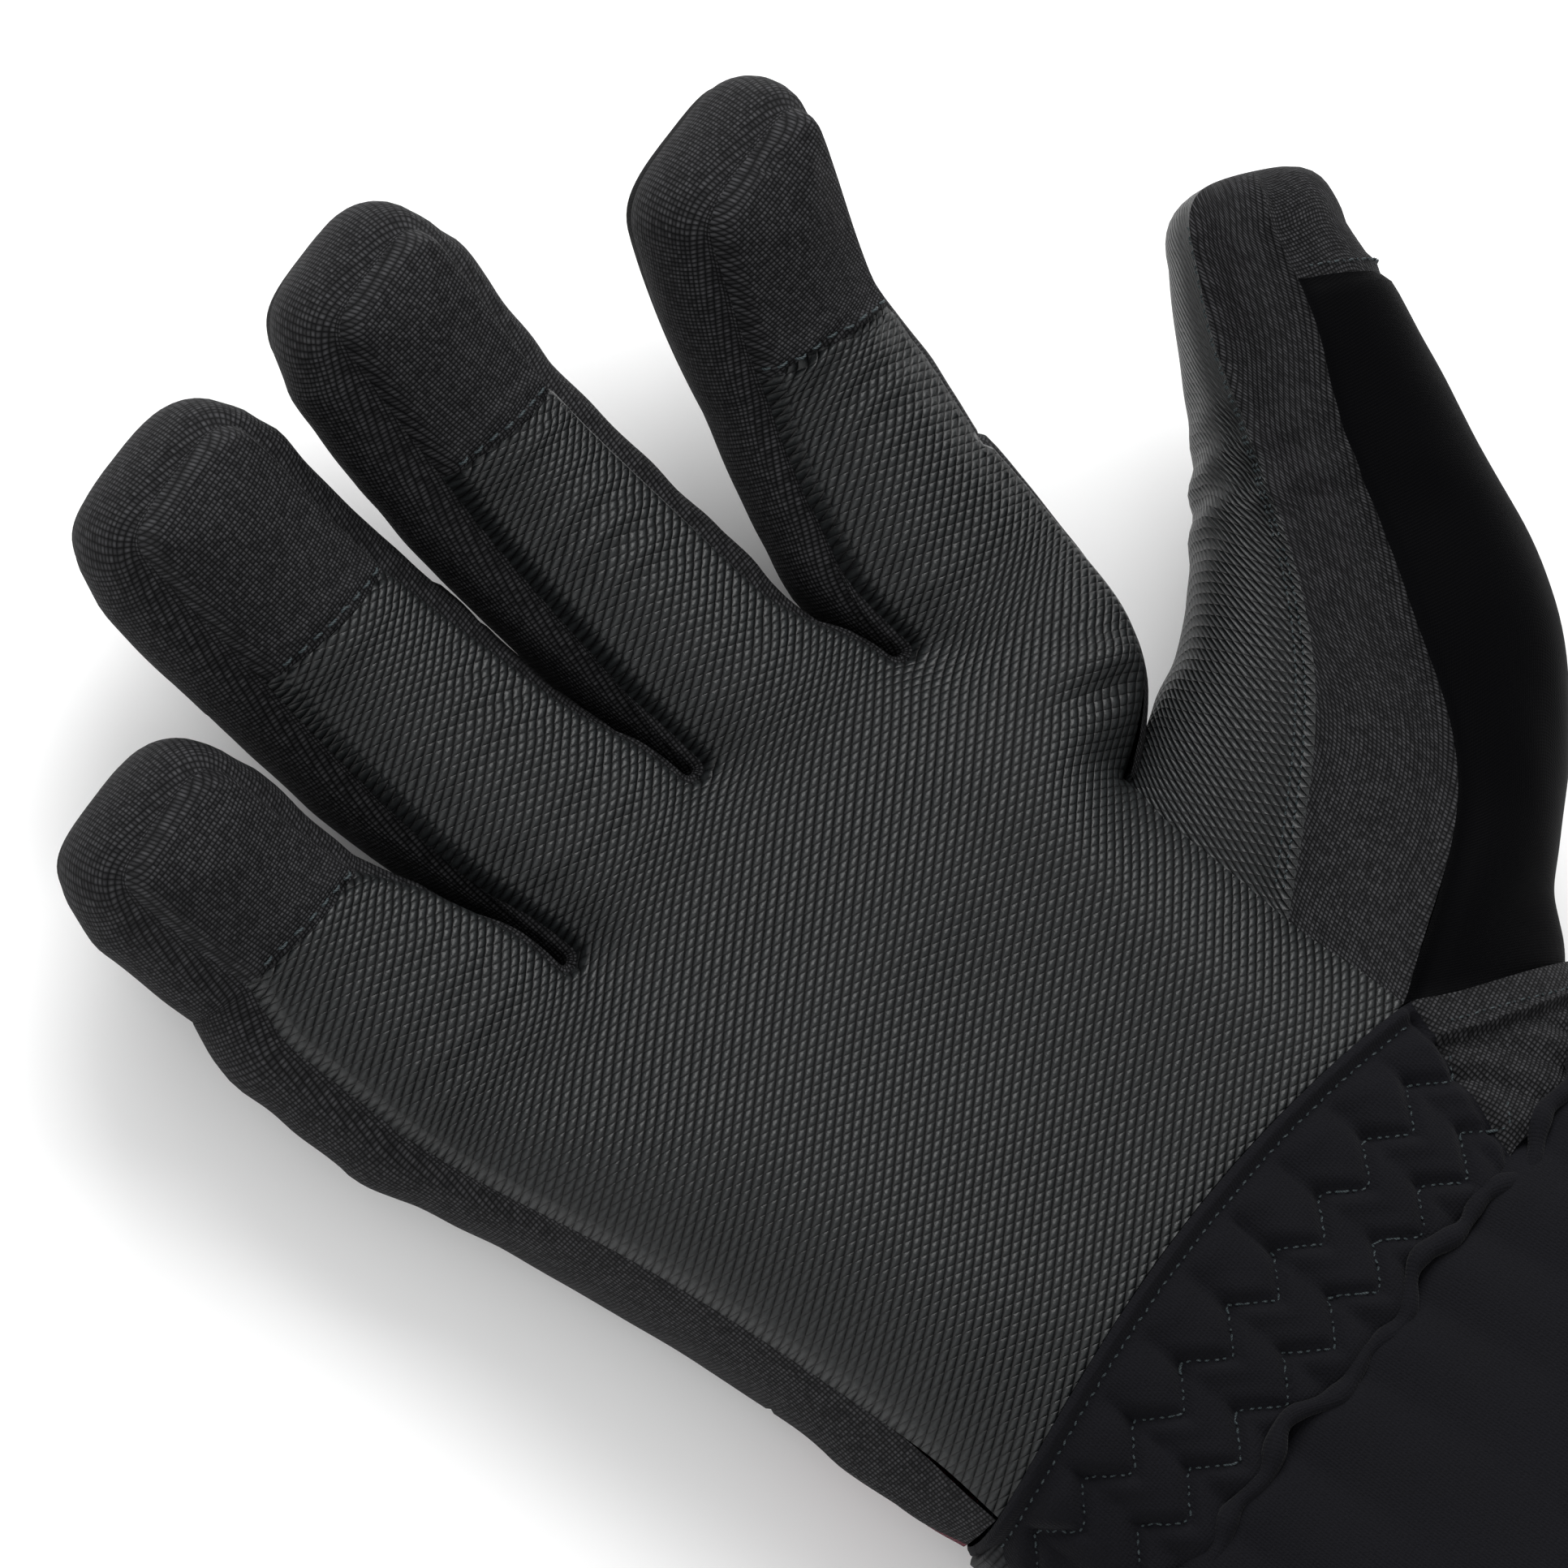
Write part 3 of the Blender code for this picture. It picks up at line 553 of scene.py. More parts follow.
def plan_mesh(boundary, lines, sewn_last, loose):
    """Triangles in a closed boundary, with the given lines as edges and finer rows beside the sewn seam."""
    closed = np.concatenate([boundary, boundary[:1]])
    sewn = boundary[: sewn_last + 1]
    normals = outward(boundary, sewn_last)[: sewn_last + 1]
    low, high = boundary.min(0), boundary.max(0)
    grid = []
    for row in range(int((high[1] - low[1]) / (SHEET_STEP * 0.866)) + 1):
        xs = np.arange(low[0] + (row % 2) * SHEET_STEP / 2, high[0], SHEET_STEP)
        grid.append(np.stack([xs, np.full_like(xs, low[1] + row * SHEET_STEP * 0.866)], axis=1))
    grid = np.concatenate(grid)
    beside = np.concatenate([sewn - normals * inset for inset in SEAM_INSETS])
    clear = distance_to(beside, closed) > np.repeat(SEAM_INSETS, len(sewn)) * 0.93
    inner = np.concatenate([grid[distance_to(grid, closed) > 2.6], beside[clear]])
    if loose is not None:
        nearby = np.min(np.linalg.norm(inner[:, None, :] - loose[None, :, :], axis=2), axis=1)
        clear = distance_to(loose, closed) > 0.5
        inner = np.concatenate([inner[nearby > 0.55], loose[clear & inside(loose, boundary)]])
    dense_lines = [resample(boundary[list(line)], SHEET_STEP * 0.7) for line in lines]
    for dense in dense_lines:
        inner = inner[distance_to(inner, dense) > 0.5]
    points = [Vector(point) for point in boundary]
    edges = [(index, (index + 1) % len(boundary)) for index in range(len(boundary))]
    for line, dense in zip(lines, dense_lines):
        first = len(points)
        points += [Vector(point) for point in dense[1:-1]]
        chain = [line[0], *range(first, len(points)), line[1]]
        edges += list(zip(chain, chain[1:]))
    points += [Vector(point) for point in inner]
    result = geometry.delaunay_2d_cdt(points, edges, [], 1, 1e-6)
    return np.array([tuple(point) for point in result[0]]), [list(face) for face in result[2]]


def inside(points, polygon):
    """Which plan points lie in a closed polygon."""
    found = np.zeros(len(points), bool)
    x, y = points[:, 0], points[:, 1]
    for (x1, y1), (x2, y2) in zip(polygon, np.roll(polygon, -1, axis=0)):
        crosses = (y1 > y) != (y2 > y)
        with np.errstate(divide="ignore", invalid="ignore"):
            found ^= crosses & (x < (x2 - x1) * (y - y1) / (y2 - y1 + 1e-12) + x1)
    return found


# ---------------------------------------------------------------- materials
def node_maths(tree, kind, a, b=None, c=None, clamp=False):
    """A maths node; each input is a number or another node's output."""
    node = tree.nodes.new("ShaderNodeMath")
    node.operation, node.use_clamp = kind, clamp
    for socket, value in zip(node.inputs, (a, b, c)):
        if value is None:
            continue
        if isinstance(value, (int, float)):
            socket.default_value = value
        else:
            tree.links.new(value, socket)
    return node.outputs[0]


def flat_axes(tree):
    """The cloth's own x and y in millimetres."""
    node = tree.nodes.new("ShaderNodeUVMap")
    node.uv_map = "flat"
    split = tree.nodes.new("ShaderNodeSeparateXYZ")
    tree.links.new(node.outputs[0], split.inputs[0])
    return [node_maths(tree, "MULTIPLY", split.outputs[axis], 1.0 / UV_SCALE) for axis in (0, 1)]


def turned(tree, x, y, degrees):
    cosine, sine = math.cos(math.radians(degrees)), math.sin(math.radians(degrees))
    along = node_maths(tree, "MULTIPLY_ADD", x, cosine, node_maths(tree, "MULTIPLY", y, sine))
    across = node_maths(tree, "MULTIPLY_ADD", y, cosine, node_maths(tree, "MULTIPLY", x, -sine))
    return along, across


def wave(tree, value, pitch):
    """1 on each thread or bead and 0 between two of them."""
    turn = node_maths(tree, "MULTIPLY", value, math.pi / pitch)
    return node_maths(tree, "ABSOLUTE", node_maths(tree, "SINE", turn))


def plan_vector(tree, x, y, scale):
    node = tree.nodes.new("ShaderNodeCombineXYZ")
    tree.links.new(node_maths(tree, "MULTIPLY", x, scale), node.inputs[0])
    tree.links.new(node_maths(tree, "MULTIPLY", y, scale), node.inputs[1])
    return node.outputs[0]


def cloudy(tree, x, y, scale, detail=3.0):
    """Soft noise over the cloth."""
    node = tree.nodes.new("ShaderNodeTexNoise")
    node.inputs["Scale"].default_value = 1.0
    node.inputs["Detail"].default_value = detail
    tree.links.new(plan_vector(tree, x, y, scale), node.inputs["Vector"])
    return node.outputs["Fac"]


def speckle(tree, x, y, pitch):
    """A random value for each thread crossing."""
    node = tree.nodes.new("ShaderNodeTexWhiteNoise")
    node.noise_dimensions = "2D"
    join = tree.nodes.new("ShaderNodeCombineXYZ")
    for axis, value in enumerate((x, y)):
        step = node_maths(tree, "FLOOR", node_maths(tree, "MULTIPLY", value, 1.0 / pitch))
        tree.links.new(step, join.inputs[axis])
    tree.links.new(join.outputs[0], node.inputs["Vector"])
    return node.outputs["Value"]


def mixed(tree, share, low, high, way="MIX"):
    """Two colours mixed or multiplied; share is a number or another node's output."""
    node = tree.nodes.new("ShaderNodeMix")
    node.data_type, node.blend_type = "RGBA", way
    if isinstance(share, float):
        node.inputs["Factor"].default_value = share
    else:
        tree.links.new(share, node.inputs["Factor"])
    for socket, colour in ((node.inputs[6], low), (node.inputs[7], high)):
        if isinstance(colour, tuple):
            socket.default_value = (*colour, 1.0)
        else:
            tree.links.new(colour, socket)
    return node.outputs[2]


def linear(red, green, blue):
    """A colour given as 0-255 display values, as the shader wants it."""
    return tuple((value / 255.0 / 12.92) if value <= 10 else ((value / 255.0 + 0.055) / 1.055) ** 2.4
                 for value in (red, green, blue))


def cloth_material(name, build, roughness, sheen, specular, bump):
    """A material whose build(tree, x, y) gives its colour, height share and roughness change or None."""
    material = bpy.data.materials.new(name)
    material.use_nodes = True
    tree = material.node_tree
    shader = tree.nodes["Principled BSDF"]
    shader.inputs["Roughness"].default_value = roughness
    shader.inputs["Specular IOR Level"].default_value = specular
    shader.inputs["Sheen Weight"].default_value = sheen
    shader.inputs["Sheen Roughness"].default_value = 0.45
    x, y = flat_axes(tree)
    colour, height, rough = build(tree, x, y)
    tree.links.new(colour, shader.inputs["Base Color"])
    if rough is not None:
        tree.links.new(node_maths(tree, "ADD", rough, roughness, clamp=True), shader.inputs["Roughness"])
    node = tree.nodes.new("ShaderNodeBump")
    node.inputs["Strength"].default_value = 1.0
    node.inputs["Distance"].default_value = bump * MM
    tree.links.new(height, node.inputs["Height"])
    tree.links.new(node.outputs[0], shader.inputs["Normal"])
    return material


def grip_pattern(tree, x, y):
    """Embossed rows of slanting beads, whose gaps run on from row to row."""
    row_pitch, bead_pitch = 1.14, 1.36
    along, across = turned(tree, x, y, 31.0)
    rows = node_maths(tree, "POWER", wave(tree, across, row_pitch), 0.6)
    slant = node_maths(tree, "MULTIPLY_ADD", across, 0.5 / row_pitch,
                       node_maths(tree, "MULTIPLY", along, 1.0 / bead_pitch))
    gaps = node_maths(tree, "POWER", wave(tree, slant, 1.0), 0.5)
    height = node_maths(tree, "MULTIPLY", rows, node_maths(tree, "MULTIPLY_ADD", gaps, 0.62, 0.38))
    clouds = cloudy(tree, x, y, 0.06)
    grain = cloudy(tree, x, y, 3.4, 2.0)
    top = mixed(tree, grain, linear(21, 23, 24), linear(38, 41, 42))
    # painted shade: the colour goes near black in the grooves between the beads and lighter on the beads'
    # tops
    beads_and_painted_groove_shade = mixed(tree, node_maths(tree, "POWER", height, 1.6), linear(3, 3, 4), top)
    shade = mixed(tree, clouds, linear(215, 215, 215), linear(255, 255, 255))
    colour = mixed(tree, 1.0, beads_and_painted_groove_shade, shade, "MULTIPLY")
    fine = node_maths(tree, "MULTIPLY_ADD", grain, 0.2, height)
    return colour, fine, node_maths(tree, "MULTIPLY_ADD", grain, 0.16, -0.08)


def weave_pattern(dark, light, pitch):
    """A plain weave: thread crossings lit, with painted glints of random strength on the yarn, and painted
    shade in the gaps between threads.
    """
    def build(tree, x, y):
        along, across = turned(tree, x, y, 8.0)
        first, second = wave(tree, along, pitch), wave(tree, across, pitch)
        threads = node_maths(tree, "MULTIPLY", first, second)
        chance = speckle(tree, along, across, pitch)
        # painted glints on the yarn, random in strength at each thread crossing
        painted_glint = node_maths(tree, "MULTIPLY_ADD", chance, 0.6, 0.3)
        # the gaps between threads get the dark colour as painted shade, the crossings the lit colour
        colour = mixed(tree, node_maths(tree, "MULTIPLY", threads, painted_glint), linear(*dark), linear(*light))
        tint = cloudy(tree, x, y, 0.12, 2.0)
        height = node_maths(tree, "MULTIPLY_ADD", chance, 0.3, threads)
        return colour, height, node_maths(tree, "MULTIPLY_ADD", tint, 0.2, -0.1)
    return build


def knit_pattern(dark, light, pitch, fuzz):
    """A close knit face; fuzz is how brushed it is."""
    def build(tree, x, y):
        along, across = turned(tree, x, y, 3.0)
        loops = node_maths(tree, "MULTIPLY", wave(tree, across, pitch), wave(tree, along, pitch * 0.8))
        grain = cloudy(tree, x, y, 2.6, 4.0)
        patch = cloudy(tree, x, y, 0.1)
        mix = node_maths(tree, "MULTIPLY_ADD", grain, fuzz, node_maths(tree, "MULTIPLY", patch, 0.35), True)
        colour = mixed(tree, mix, linear(*dark), linear(*light))
        height = node_maths(tree, "MULTIPLY_ADD", grain, 1.6 * fuzz, node_maths(tree, "MULTIPLY", loops, 0.6))
        return colour, height, node_maths(tree, "MULTIPLY_ADD", patch, 0.2, -0.1)
    return build


def ribbed_pattern(tree, x, y):
    ribs = wave(tree, x, 1.15)
    yarn = wave(tree, y, 0.5)
    height = node_maths(tree, "MULTIPLY", node_maths(tree, "POWER", ribs, 0.6),
                        node_maths(tree, "MULTIPLY_ADD", yarn, 0.3, 0.7))
    # the colour follows the ribs' height: painted shade, near black, in the hollows between ribs
    return mixed(tree, height, linear(5, 5, 6), linear(34, 35, 37)), height, None


def thread_pattern(tree, x, y):
    twist_and_highlight = wave(tree, node_maths(tree, "MULTIPLY_ADD", y, 0.8, x), 0.35)
    # the lighter colour on each turn of the twist is a painted highlight, the darker one the thread's own
    return mixed(tree, twist_and_highlight, linear(14, 18, 20), linear(52, 62, 65)), twist_and_highlight, None


# roughness, sheen, specular level and depth of the relief in millimetres close each row
GRIP = cloth_material("grip_pu", grip_pattern, 0.42, 0.0, 0.3, 0.36)
# each weave's first colour is the painted shade between threads, its second the lit yarn with painted glints
OXFORD = cloth_material("oxford_fabric", weave_pattern((2, 2, 3), (64, 64, 66), 0.55), 0.72, 0.0, 0.1, 0.16)
ACCENT = cloth_material("accent_oxford", weave_pattern((42, 7, 17), (132, 46, 66), 0.55),
                        0.7, 0.02, 0.14, 0.16)
SOFTSHELL = cloth_material("softshell_fabric", knit_pattern((1, 1, 2), (4, 4, 5), 0.42, 0.3),
                           0.62, 0.0, 0.03, 0.05)
BRUSHED = cloth_material("brushed_softshell", knit_pattern((5, 5, 7), (19, 19, 23), 0.5, 0.75),
                         0.85, 0.03, 0.07, 0.1)
LINING = cloth_material("lining", knit_pattern((16, 16, 18), (36, 36, 38), 0.9, 0.8), 0.95, 0.2, 0.08, 0.3)
WEBBING = cloth_material("webbing", ribbed_pattern, 0.6, 0.02, 0.16, 0.3)
THREAD = cloth_material("thread", thread_pattern, 0.5, 0.02, 0.3, 0.06)


# ---------------------------------------------------------------- knuckle lines; the hand's pieces attached to the hand
def forward(line_start, line_end):
    """Unit vector in plan, across a line and towards the fingertips."""
    dx, dy = line_end[0] - line_start[0], line_end[1] - line_start[1]
    size = math.hypot(dx, dy)
    return np.array([-dy, dx]) / size if dx > 0 else np.array([dy, -dx]) / size


def nearest_mark(point, low, high):
    gaps = np.linalg.norm(OUTLINE.points[low:high] - np.array(point), axis=1)
    return low + int(np.argmin(gaps))


MARKS = OUTLINE.marks
ULNAR_KNUCKLE = nearest_mark((-67.8, 86.0), 0, MARKS["little_cut_-1"])
RADIAL_KNUCKLE = nearest_mark((45.2, 79.0), MARKS["index_cut_1"], MARKS["web_end"])
KNUCKLE_MARKS = (ULNAR_KNUCKLE, MARKS["crotch_0"], MARKS["crotch_1"], MARKS["crotch_2"], RADIAL_KNUCKLE)
KNUCKLE_BEND = {"little": 12.5, "ring": 14.0, "middle": 15.0, "index": 13.5}
MIDDLE_BEND = 18.0


def knuckle_line(name):
    number = ORDER.index(name)
    return OUTLINE.points[KNUCKLE_MARKS[number]], OUTLINE.points[KNUCKLE_MARKS[number + 1]]


def bend_onto(piece, name, part):
    """Bakes a finger's piece where it is; it works out the ends of the bend, part 0 from hand to finger and
    part 1 on to the fingertip, but does not use them.
    """
    digit = DIGIT[name]
    if part == 0:
        start, end = knuckle_line(name)
        across = forward(start, end)
        first = np.array([*((start + end) / 2.0), CENTRE_Z])
        first[:2] += across * (across @ (np.array(start) - first[:2]))
        last = first + np.array([*across, 0.0]) * KNUCKLE_BEND[name]
    else:
        y = split_y(digit) + 1.0
        along = np.array([math.sin(digit.yaw), math.cos(digit.yaw)])
        flat = np.array([digit.centre_x(y), y])
        ends = [flat, flat + along * MIDDLE_BEND]
        first, last = [digit.place(np.array([e[0]]), np.array([e[1]]), np.array([CENTRE_Z]))[0] for e in ends]
    first, last = at(first), at(last)
    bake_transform(piece)


def hand_over(piece, name, part):
    if name == "hand":
        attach(piece, "hand")
    else:
        bend_onto(piece, name, part)


# ---------------------------------------------------------------- the palm and the back
def region_of(flat):
    """(digit or "hand", part, beyond the cap seam) of each plan point."""
    x, y = flat[:, 0], flat[:, 1]
    names = np.full(len(flat), "hand", dtype=object)
    part = np.zeros(len(flat), int)
    capped = np.zeros(len(flat), bool)
    for number, name in enumerate(ORDER):
        digit = DIGIT[name]
        start, end = knuckle_line(name)
        across = forward(start, end)
        beyond = (flat - np.array(start)) @ across > 0.0
        left = between(number - 1, y) if number > 0 else -1e3
        right = between(number, y) if number < 3 else 1e3
        mine = beyond & (x > left) & (x < right)
        names[mine] = name
        part[mine] = (y[mine] > split_y(digit)).astype(int)
        capped[mine] = y[mine] > cap_y(digit, x[mine])
    return names, part, capped


WEB_FOLDS_FROM = (44.0, 58.0)         # the folds at the thumb's web fan out from here


def wrinkles(x, y, distance):
    """How far the cloth stands out of the smooth shape."""
    total = np.zeros(len(x))
    for digit in DIGIT.values():
        centre = digit.centre_x(y)
        near = np.abs(x - centre) < 15.0
        across = (x - centre) * math.cos(digit.yaw)
        creases = ((digit.near + 3.0, 0.85, 5.2, 9.0), (digit.cap, 0.6, 3.6, 6.0), (2.0, 0.45, 6.0, 8.0))
        for along, size, pitch, width in creases:
            where = digit.distance(y) - along
            where = where + 0.02 * across**2 * (1.0 if along > 5 else -1.0)
            ripple = np.cos(2.0 * math.pi * (where / pitch) + across * 0.09)
            total += np.where(near, size * ripple * bell(where, 0.0, width), 0.0)
    total *= 0.6 + 0.7 * cloth_noise(x, y, 16.0, 2.0)
    total += 0.45 * cloth_noise(x, y, 26.0, 5.0) + 0.2 * cloth_noise(x, y, 9.0, 7.0)
    away = (x - WEB_FOLDS_FROM[0], y - WEB_FOLDS_FROM[1])
    along, across = away[0] * -0.966 + away[1] * 0.259, away[0] * 0.259 + away[1] * 0.966
    for shift, size, width in ((0.0, -1.1, 1.6), (4.6, 0.7, 2.4), (-4.0, 0.6, 2.2), (9.5, -0.6, 2.0)):
        fan = shift * (0.5 + along / 26.0) + 0.006 * along**2
        total += size * bell(across, fan, width) * bell(along, 8.0, 17.0)
    return total * smooth((distance - 0.6) / 4.0)


def seam_dip(x, y):
    """The groove along each cap seam and the cloth puffed up beside it."""
    total = np.zeros(len(x))
    for digit in DIGIT.values():
        near = np.abs(x - digit.centre_x(y)) < 14.0
        gap = (y - cap_y(digit, x)) * math.cos(digit.yaw)
        dip = -0.75 * bell(gap, 0.0, 0.55) + 0.45 * bell(np.abs(gap), 2.6, 1.8) + 0.35 * bell(gap, 0.9, 0.5)
        total += np.where(near, dip, 0.0)
    return total


def loose_rows():
    """Extra points on each side of the cap seams, so that their groove is crisp."""
    rows = []
    for digit in DIGIT.values():
        for shift in (-2.0, -1.2, -0.6, 0.6, 1.2, 2.0):
            xs = np.arange(-8.2, 8.3, 1.0) + digit.centre_x(digit.flat_y(digit.cap))
            rows.append(np.stack([xs, cap_y(digit, xs) + shift], axis=1))
    return np.concatenate(rows)


def sheet_lines(extra):
    lines = [(KNUCKLE_MARKS[number], KNUCKLE_MARKS[number + 1]) for number in range(4)]
    lines += [(MARKS[name + "_cut_-1"], MARKS[name + "_cut_1"]) for name in ORDER]
    return lines + extra


def split_sheet(title, mesh, names, parts, kinds, cloth):
    """Cuts a sheet into one piece for each (digit, part, kind); the hand's pieces are attached to the hand,
    the others baked in place.
    """
    groups = [(name, int(part), str(kind)) for name, part, kind in zip(names, parts, kinds)]
    for key in sorted(set(groups), key=str):
        name, part, kind = key
        chosen = [number for number, group in enumerate(groups) if group == key]
        hand_over(cut_piece(f"{title}_{name}_{part}_{kind}", mesh, chosen, cloth[kind]), name, part)


def face_middles(flat, faces):
    return np.array([flat[face].mean(0) for face in faces])


def build_palm():
    caps = [(MARKS[name + "_cap_-1"], MARKS[name + "_cap_1"]) for name in ORDER]
    flat, faces = plan_mesh(OUTLINE.points, sheet_lines(caps), LAST, loose_rows())
    distance = distance_to(flat, OUTLINE.points[: LAST + 1])
    x, y = flat.T
    lip = 0.75 * bell(distance, 1.4, 0.8) * finger_share(y)
    points = curl(x, y, palm_z(x, y, distance) + lip + seam_dip(x, y) * smooth(distance / 1.5))
    points += vertex_normals(points, faces) * wrinkles(x, y, distance)[:, None]
    normals = vertex_normals(points, faces)
    names, parts, capped = region_of(face_middles(flat, faces))
    kinds = np.where(capped, "cap", "grip")
    split_sheet("palm", (points, faces, flat, normals), names, parts, kinds, {"grip": GRIP, "cap": OXFORD})
    return flat, points, normals


def build_back():
    corners = (nearest_mark((-63.0, 33.0), 0, ULNAR_KNUCKLE),
               nearest_mark((-38.0, 10.2), MARKS["wrist_thumb"], len(OUTLINE.points)))
    flat, faces = plan_mesh(BACK_POINTS, sheet_lines([corners]), LAST, None)
    faces = [face[::-1] for face in faces]
    distance = distance_to(flat, BACK_POINTS[: LAST + 1])
    x, y = flat.T
    points = curl(x, y, back_z(x, y, distance))
    lift = 0.5 * cloth_noise(x, y, 24.0, 11.0) * smooth((distance - 0.6) / 5.0) * finger_share(y)
    points[:, 2] += np.maximum(lift, 0.0)
    normals = vertex_normals(points, faces)
    middles = face_middles(flat, faces)
    names, parts, _ = region_of(middles)
    low, high = BACK_POINTS[list(corners)]
    across = np.array([low[1] - high[1], high[0] - low[0]])
    kinds = np.where(((middles - low) @ across < 0.0) & (names == "hand"), "accent", "main")
    split_sheet("back", (points, faces, flat, normals), names, parts, kinds,
                {"main": SOFTSHELL, "accent": ACCENT})
    return flat, points


# ---------------------------------------------------------------- the walls between palm and back
ACCENT_ROW = 7                        # the accent's edge runs down the little-finger wall along this row
ACCENT_TOP = 34.0


def wall_rows(index):
    """Shares of the wall's height at one outline point; the accent's edge is always the same row."""
    y = OUTLINE.points[index][1]
    if index < MARKS["ulnar_top"] and y < 35.0:
        edge = lerp(0.42, 1.0, smooth((y + 4.0) / 39.0))
        upper = np.linspace(0.0, edge, ACCENT_ROW + 1)
        return np.concatenate([upper, np.linspace(edge, 1.0, WALL_ROWS - ACCENT_ROW + 1)[1:]])
    return np.linspace(0.0, 1.0, WALL_ROWS + 1)


def wall_column(index):
    x, y = OUTLINE.points[index]
    shares_down = wall_rows(index)
    top, bottom = palm_seam_z(y), back_seam_z(y)
    z = lerp(top, bottom, shares_down)
    swell = 0.8 * REACH[index] * np.sin(math.pi * shares_down) ** 0.72
    offset = BACK_OFFSET[index] * shares_down + swell
    if by_ulnar_wrist(x, y):
        ring = x - (WRIST_X - ring_half(z))
        offset = lerp(offset, ring, wrist_share(y))
        offset += 2.8 * bell(y, 18.0, 12.0) * np.sin(math.pi * shares_down**1.6)
    offset -= 1.1 * bell(top - z, 1.3, 0.9) * finger_share(y)
    point = OUTLINE.points[index] + NORMALS[index] * offset[:, None]
    return np.stack([point[:, 0], point[:, 1], z], axis=1)


def build_walls():
    rows = WALL_ROWS + 1
    flat = np.concatenate([wall_column(index) for index in range(LAST + 1)])
    points = curl(*flat.T)
    along = np.repeat(run_length(OUTLINE.points[: LAST + 1]), rows)
    faces, owner = grid_faces(LAST + 1, rows)
    inner = np.tile(np.sin(math.pi * np.linspace(0.0, 1.0, rows)) ** 0.6, LAST + 1)
    height = flat[:, 2]
    fold = 0.7 * cloth_noise(along, height * 0.35, 7.5, 3.0) + 0.5 * cloth_noise(along, height, 19.0, 4.0)
    reach = np.repeat(np.minimum(REACH / 6.0, 1.0), rows)
    points += vertex_normals(points, faces) * (fold * inner * reach)[:, None]
    mesh = (points, faces, np.stack([along, height], axis=1), vertex_normals(points, faces))
    cuts = [("hand", 0, "ulnar", 0, ULNAR_KNUCKLE)]
    for number, name in enumerate(ORDER):
        low, high = KNUCKLE_MARKS[number], KNUCKLE_MARKS[number + 1]
        first, last = MARKS[name + "_cut_-1"], MARKS[name + "_cut_1"]
        tip = (MARKS[name + "_cap_-1"] + MARKS[name + "_cap_1"]) // 2
        cuts += [(name, 0, "ulnar", low, first), (name, 1, "ulnar", first, tip),
                 (name, 1, "radial", tip, last), (name, 0, "radial", last, high)]
    cuts.append(("hand", 0, "radial", RADIAL_KNUCKLE, LAST))
    for name, part, side, low, high in cuts:
        chosen = {"": [], "_accent": []}
        for number, (column, row) in enumerate(owner):
            if low <= column < high:
                accent = (name, side) == ("hand", "ulnar") and row >= ACCENT_ROW
                accent = accent and OUTLINE.points[column][1] < ACCENT_TOP
                chosen["_accent" if accent else ""].append(number)
        for kind, cloth in (("", OXFORD), ("_accent", ACCENT)):
            if chosen[kind]:
                label = f"wall_{name}_{part}_{side}{kind}"
                hand_over(cut_piece(label, mesh, chosen[kind], cloth), name, part)
    return points.reshape(LAST + 1, rows, 3)


# ---------------------------------------------------------------- the thumb
# x, y, z, heading from +X in degrees, half width and height; the hand's own opening comes before these rings
THUMB_RINGS = (
    (51.0, 29.5, 22.5, 22.0, 28.0, 16.8),
    (68.6, 41.8, 25.0, 41.0, 24.2, 17.0),
    (80.4, 60.2, 30.0, 49.0, 18.0, 15.6),
    (86.8, 72.6, 34.0, 53.0, 15.0, 14.0),
    (92.2, 84.2, 38.0, 55.0, 11.8, 12.2),
)
THUMB_RISE = 0.12                     # how far each ring leans towards the palm side
# seams at each ring, degrees: shell to upper strip, upper to grip, grip to lower strip, lower to shell
THUMB_SEAMS = ((75.0, 108.0, 212.0, 306.0), (91.0, 121.0, 222.0, 312.0), (98.0, 137.0, 230.0, 316.0),
               (96.0, 149.0, 236.0, 318.0), (100.0, 155.0, 240.0, 320.0))
THUMB_STRIPS = (("upper", 16), ("grip", 36), ("lower", 26), ("shell", 52))
THUMB_STEPS = (22, 16, 16, 11, 9)     # rows between two rings
THUMB_DOME = 10                       # rows of the rounded tip
THUMB_ROUND = 0.84                    # power of a ring's outline
THUMB_CUT = 2.32                      # station where the thumb's pieces are cut into first and second ones
THUMB_HEM = 4.35                      # station of the cap's folded hem
UPPER_ROOT = (25.0, 26.0)             # where the upper strip's lower seam meets the palm
LOWER_ROOT = (26.5, 30.0)             # the same on the back
GUSSET_X, GUSSET_WIDTH = 25.2, 23.5   # where the wrist's gusset starts, and how far across it goes
GUSSET_TOP, GUSSET_FALL = 8.0, 14.8   # height of its upper seam there, and how far the seam falls


def sheet_edge(sheet, boundary, low, high):
    """The finished positions of a sheet's boundary points low..high."""
    flat, points = sheet[:2]
    return np.array([points[np.argmin(np.linalg.norm(flat - spot, axis=1))]
                     for spot in boundary[low: high + 1]])


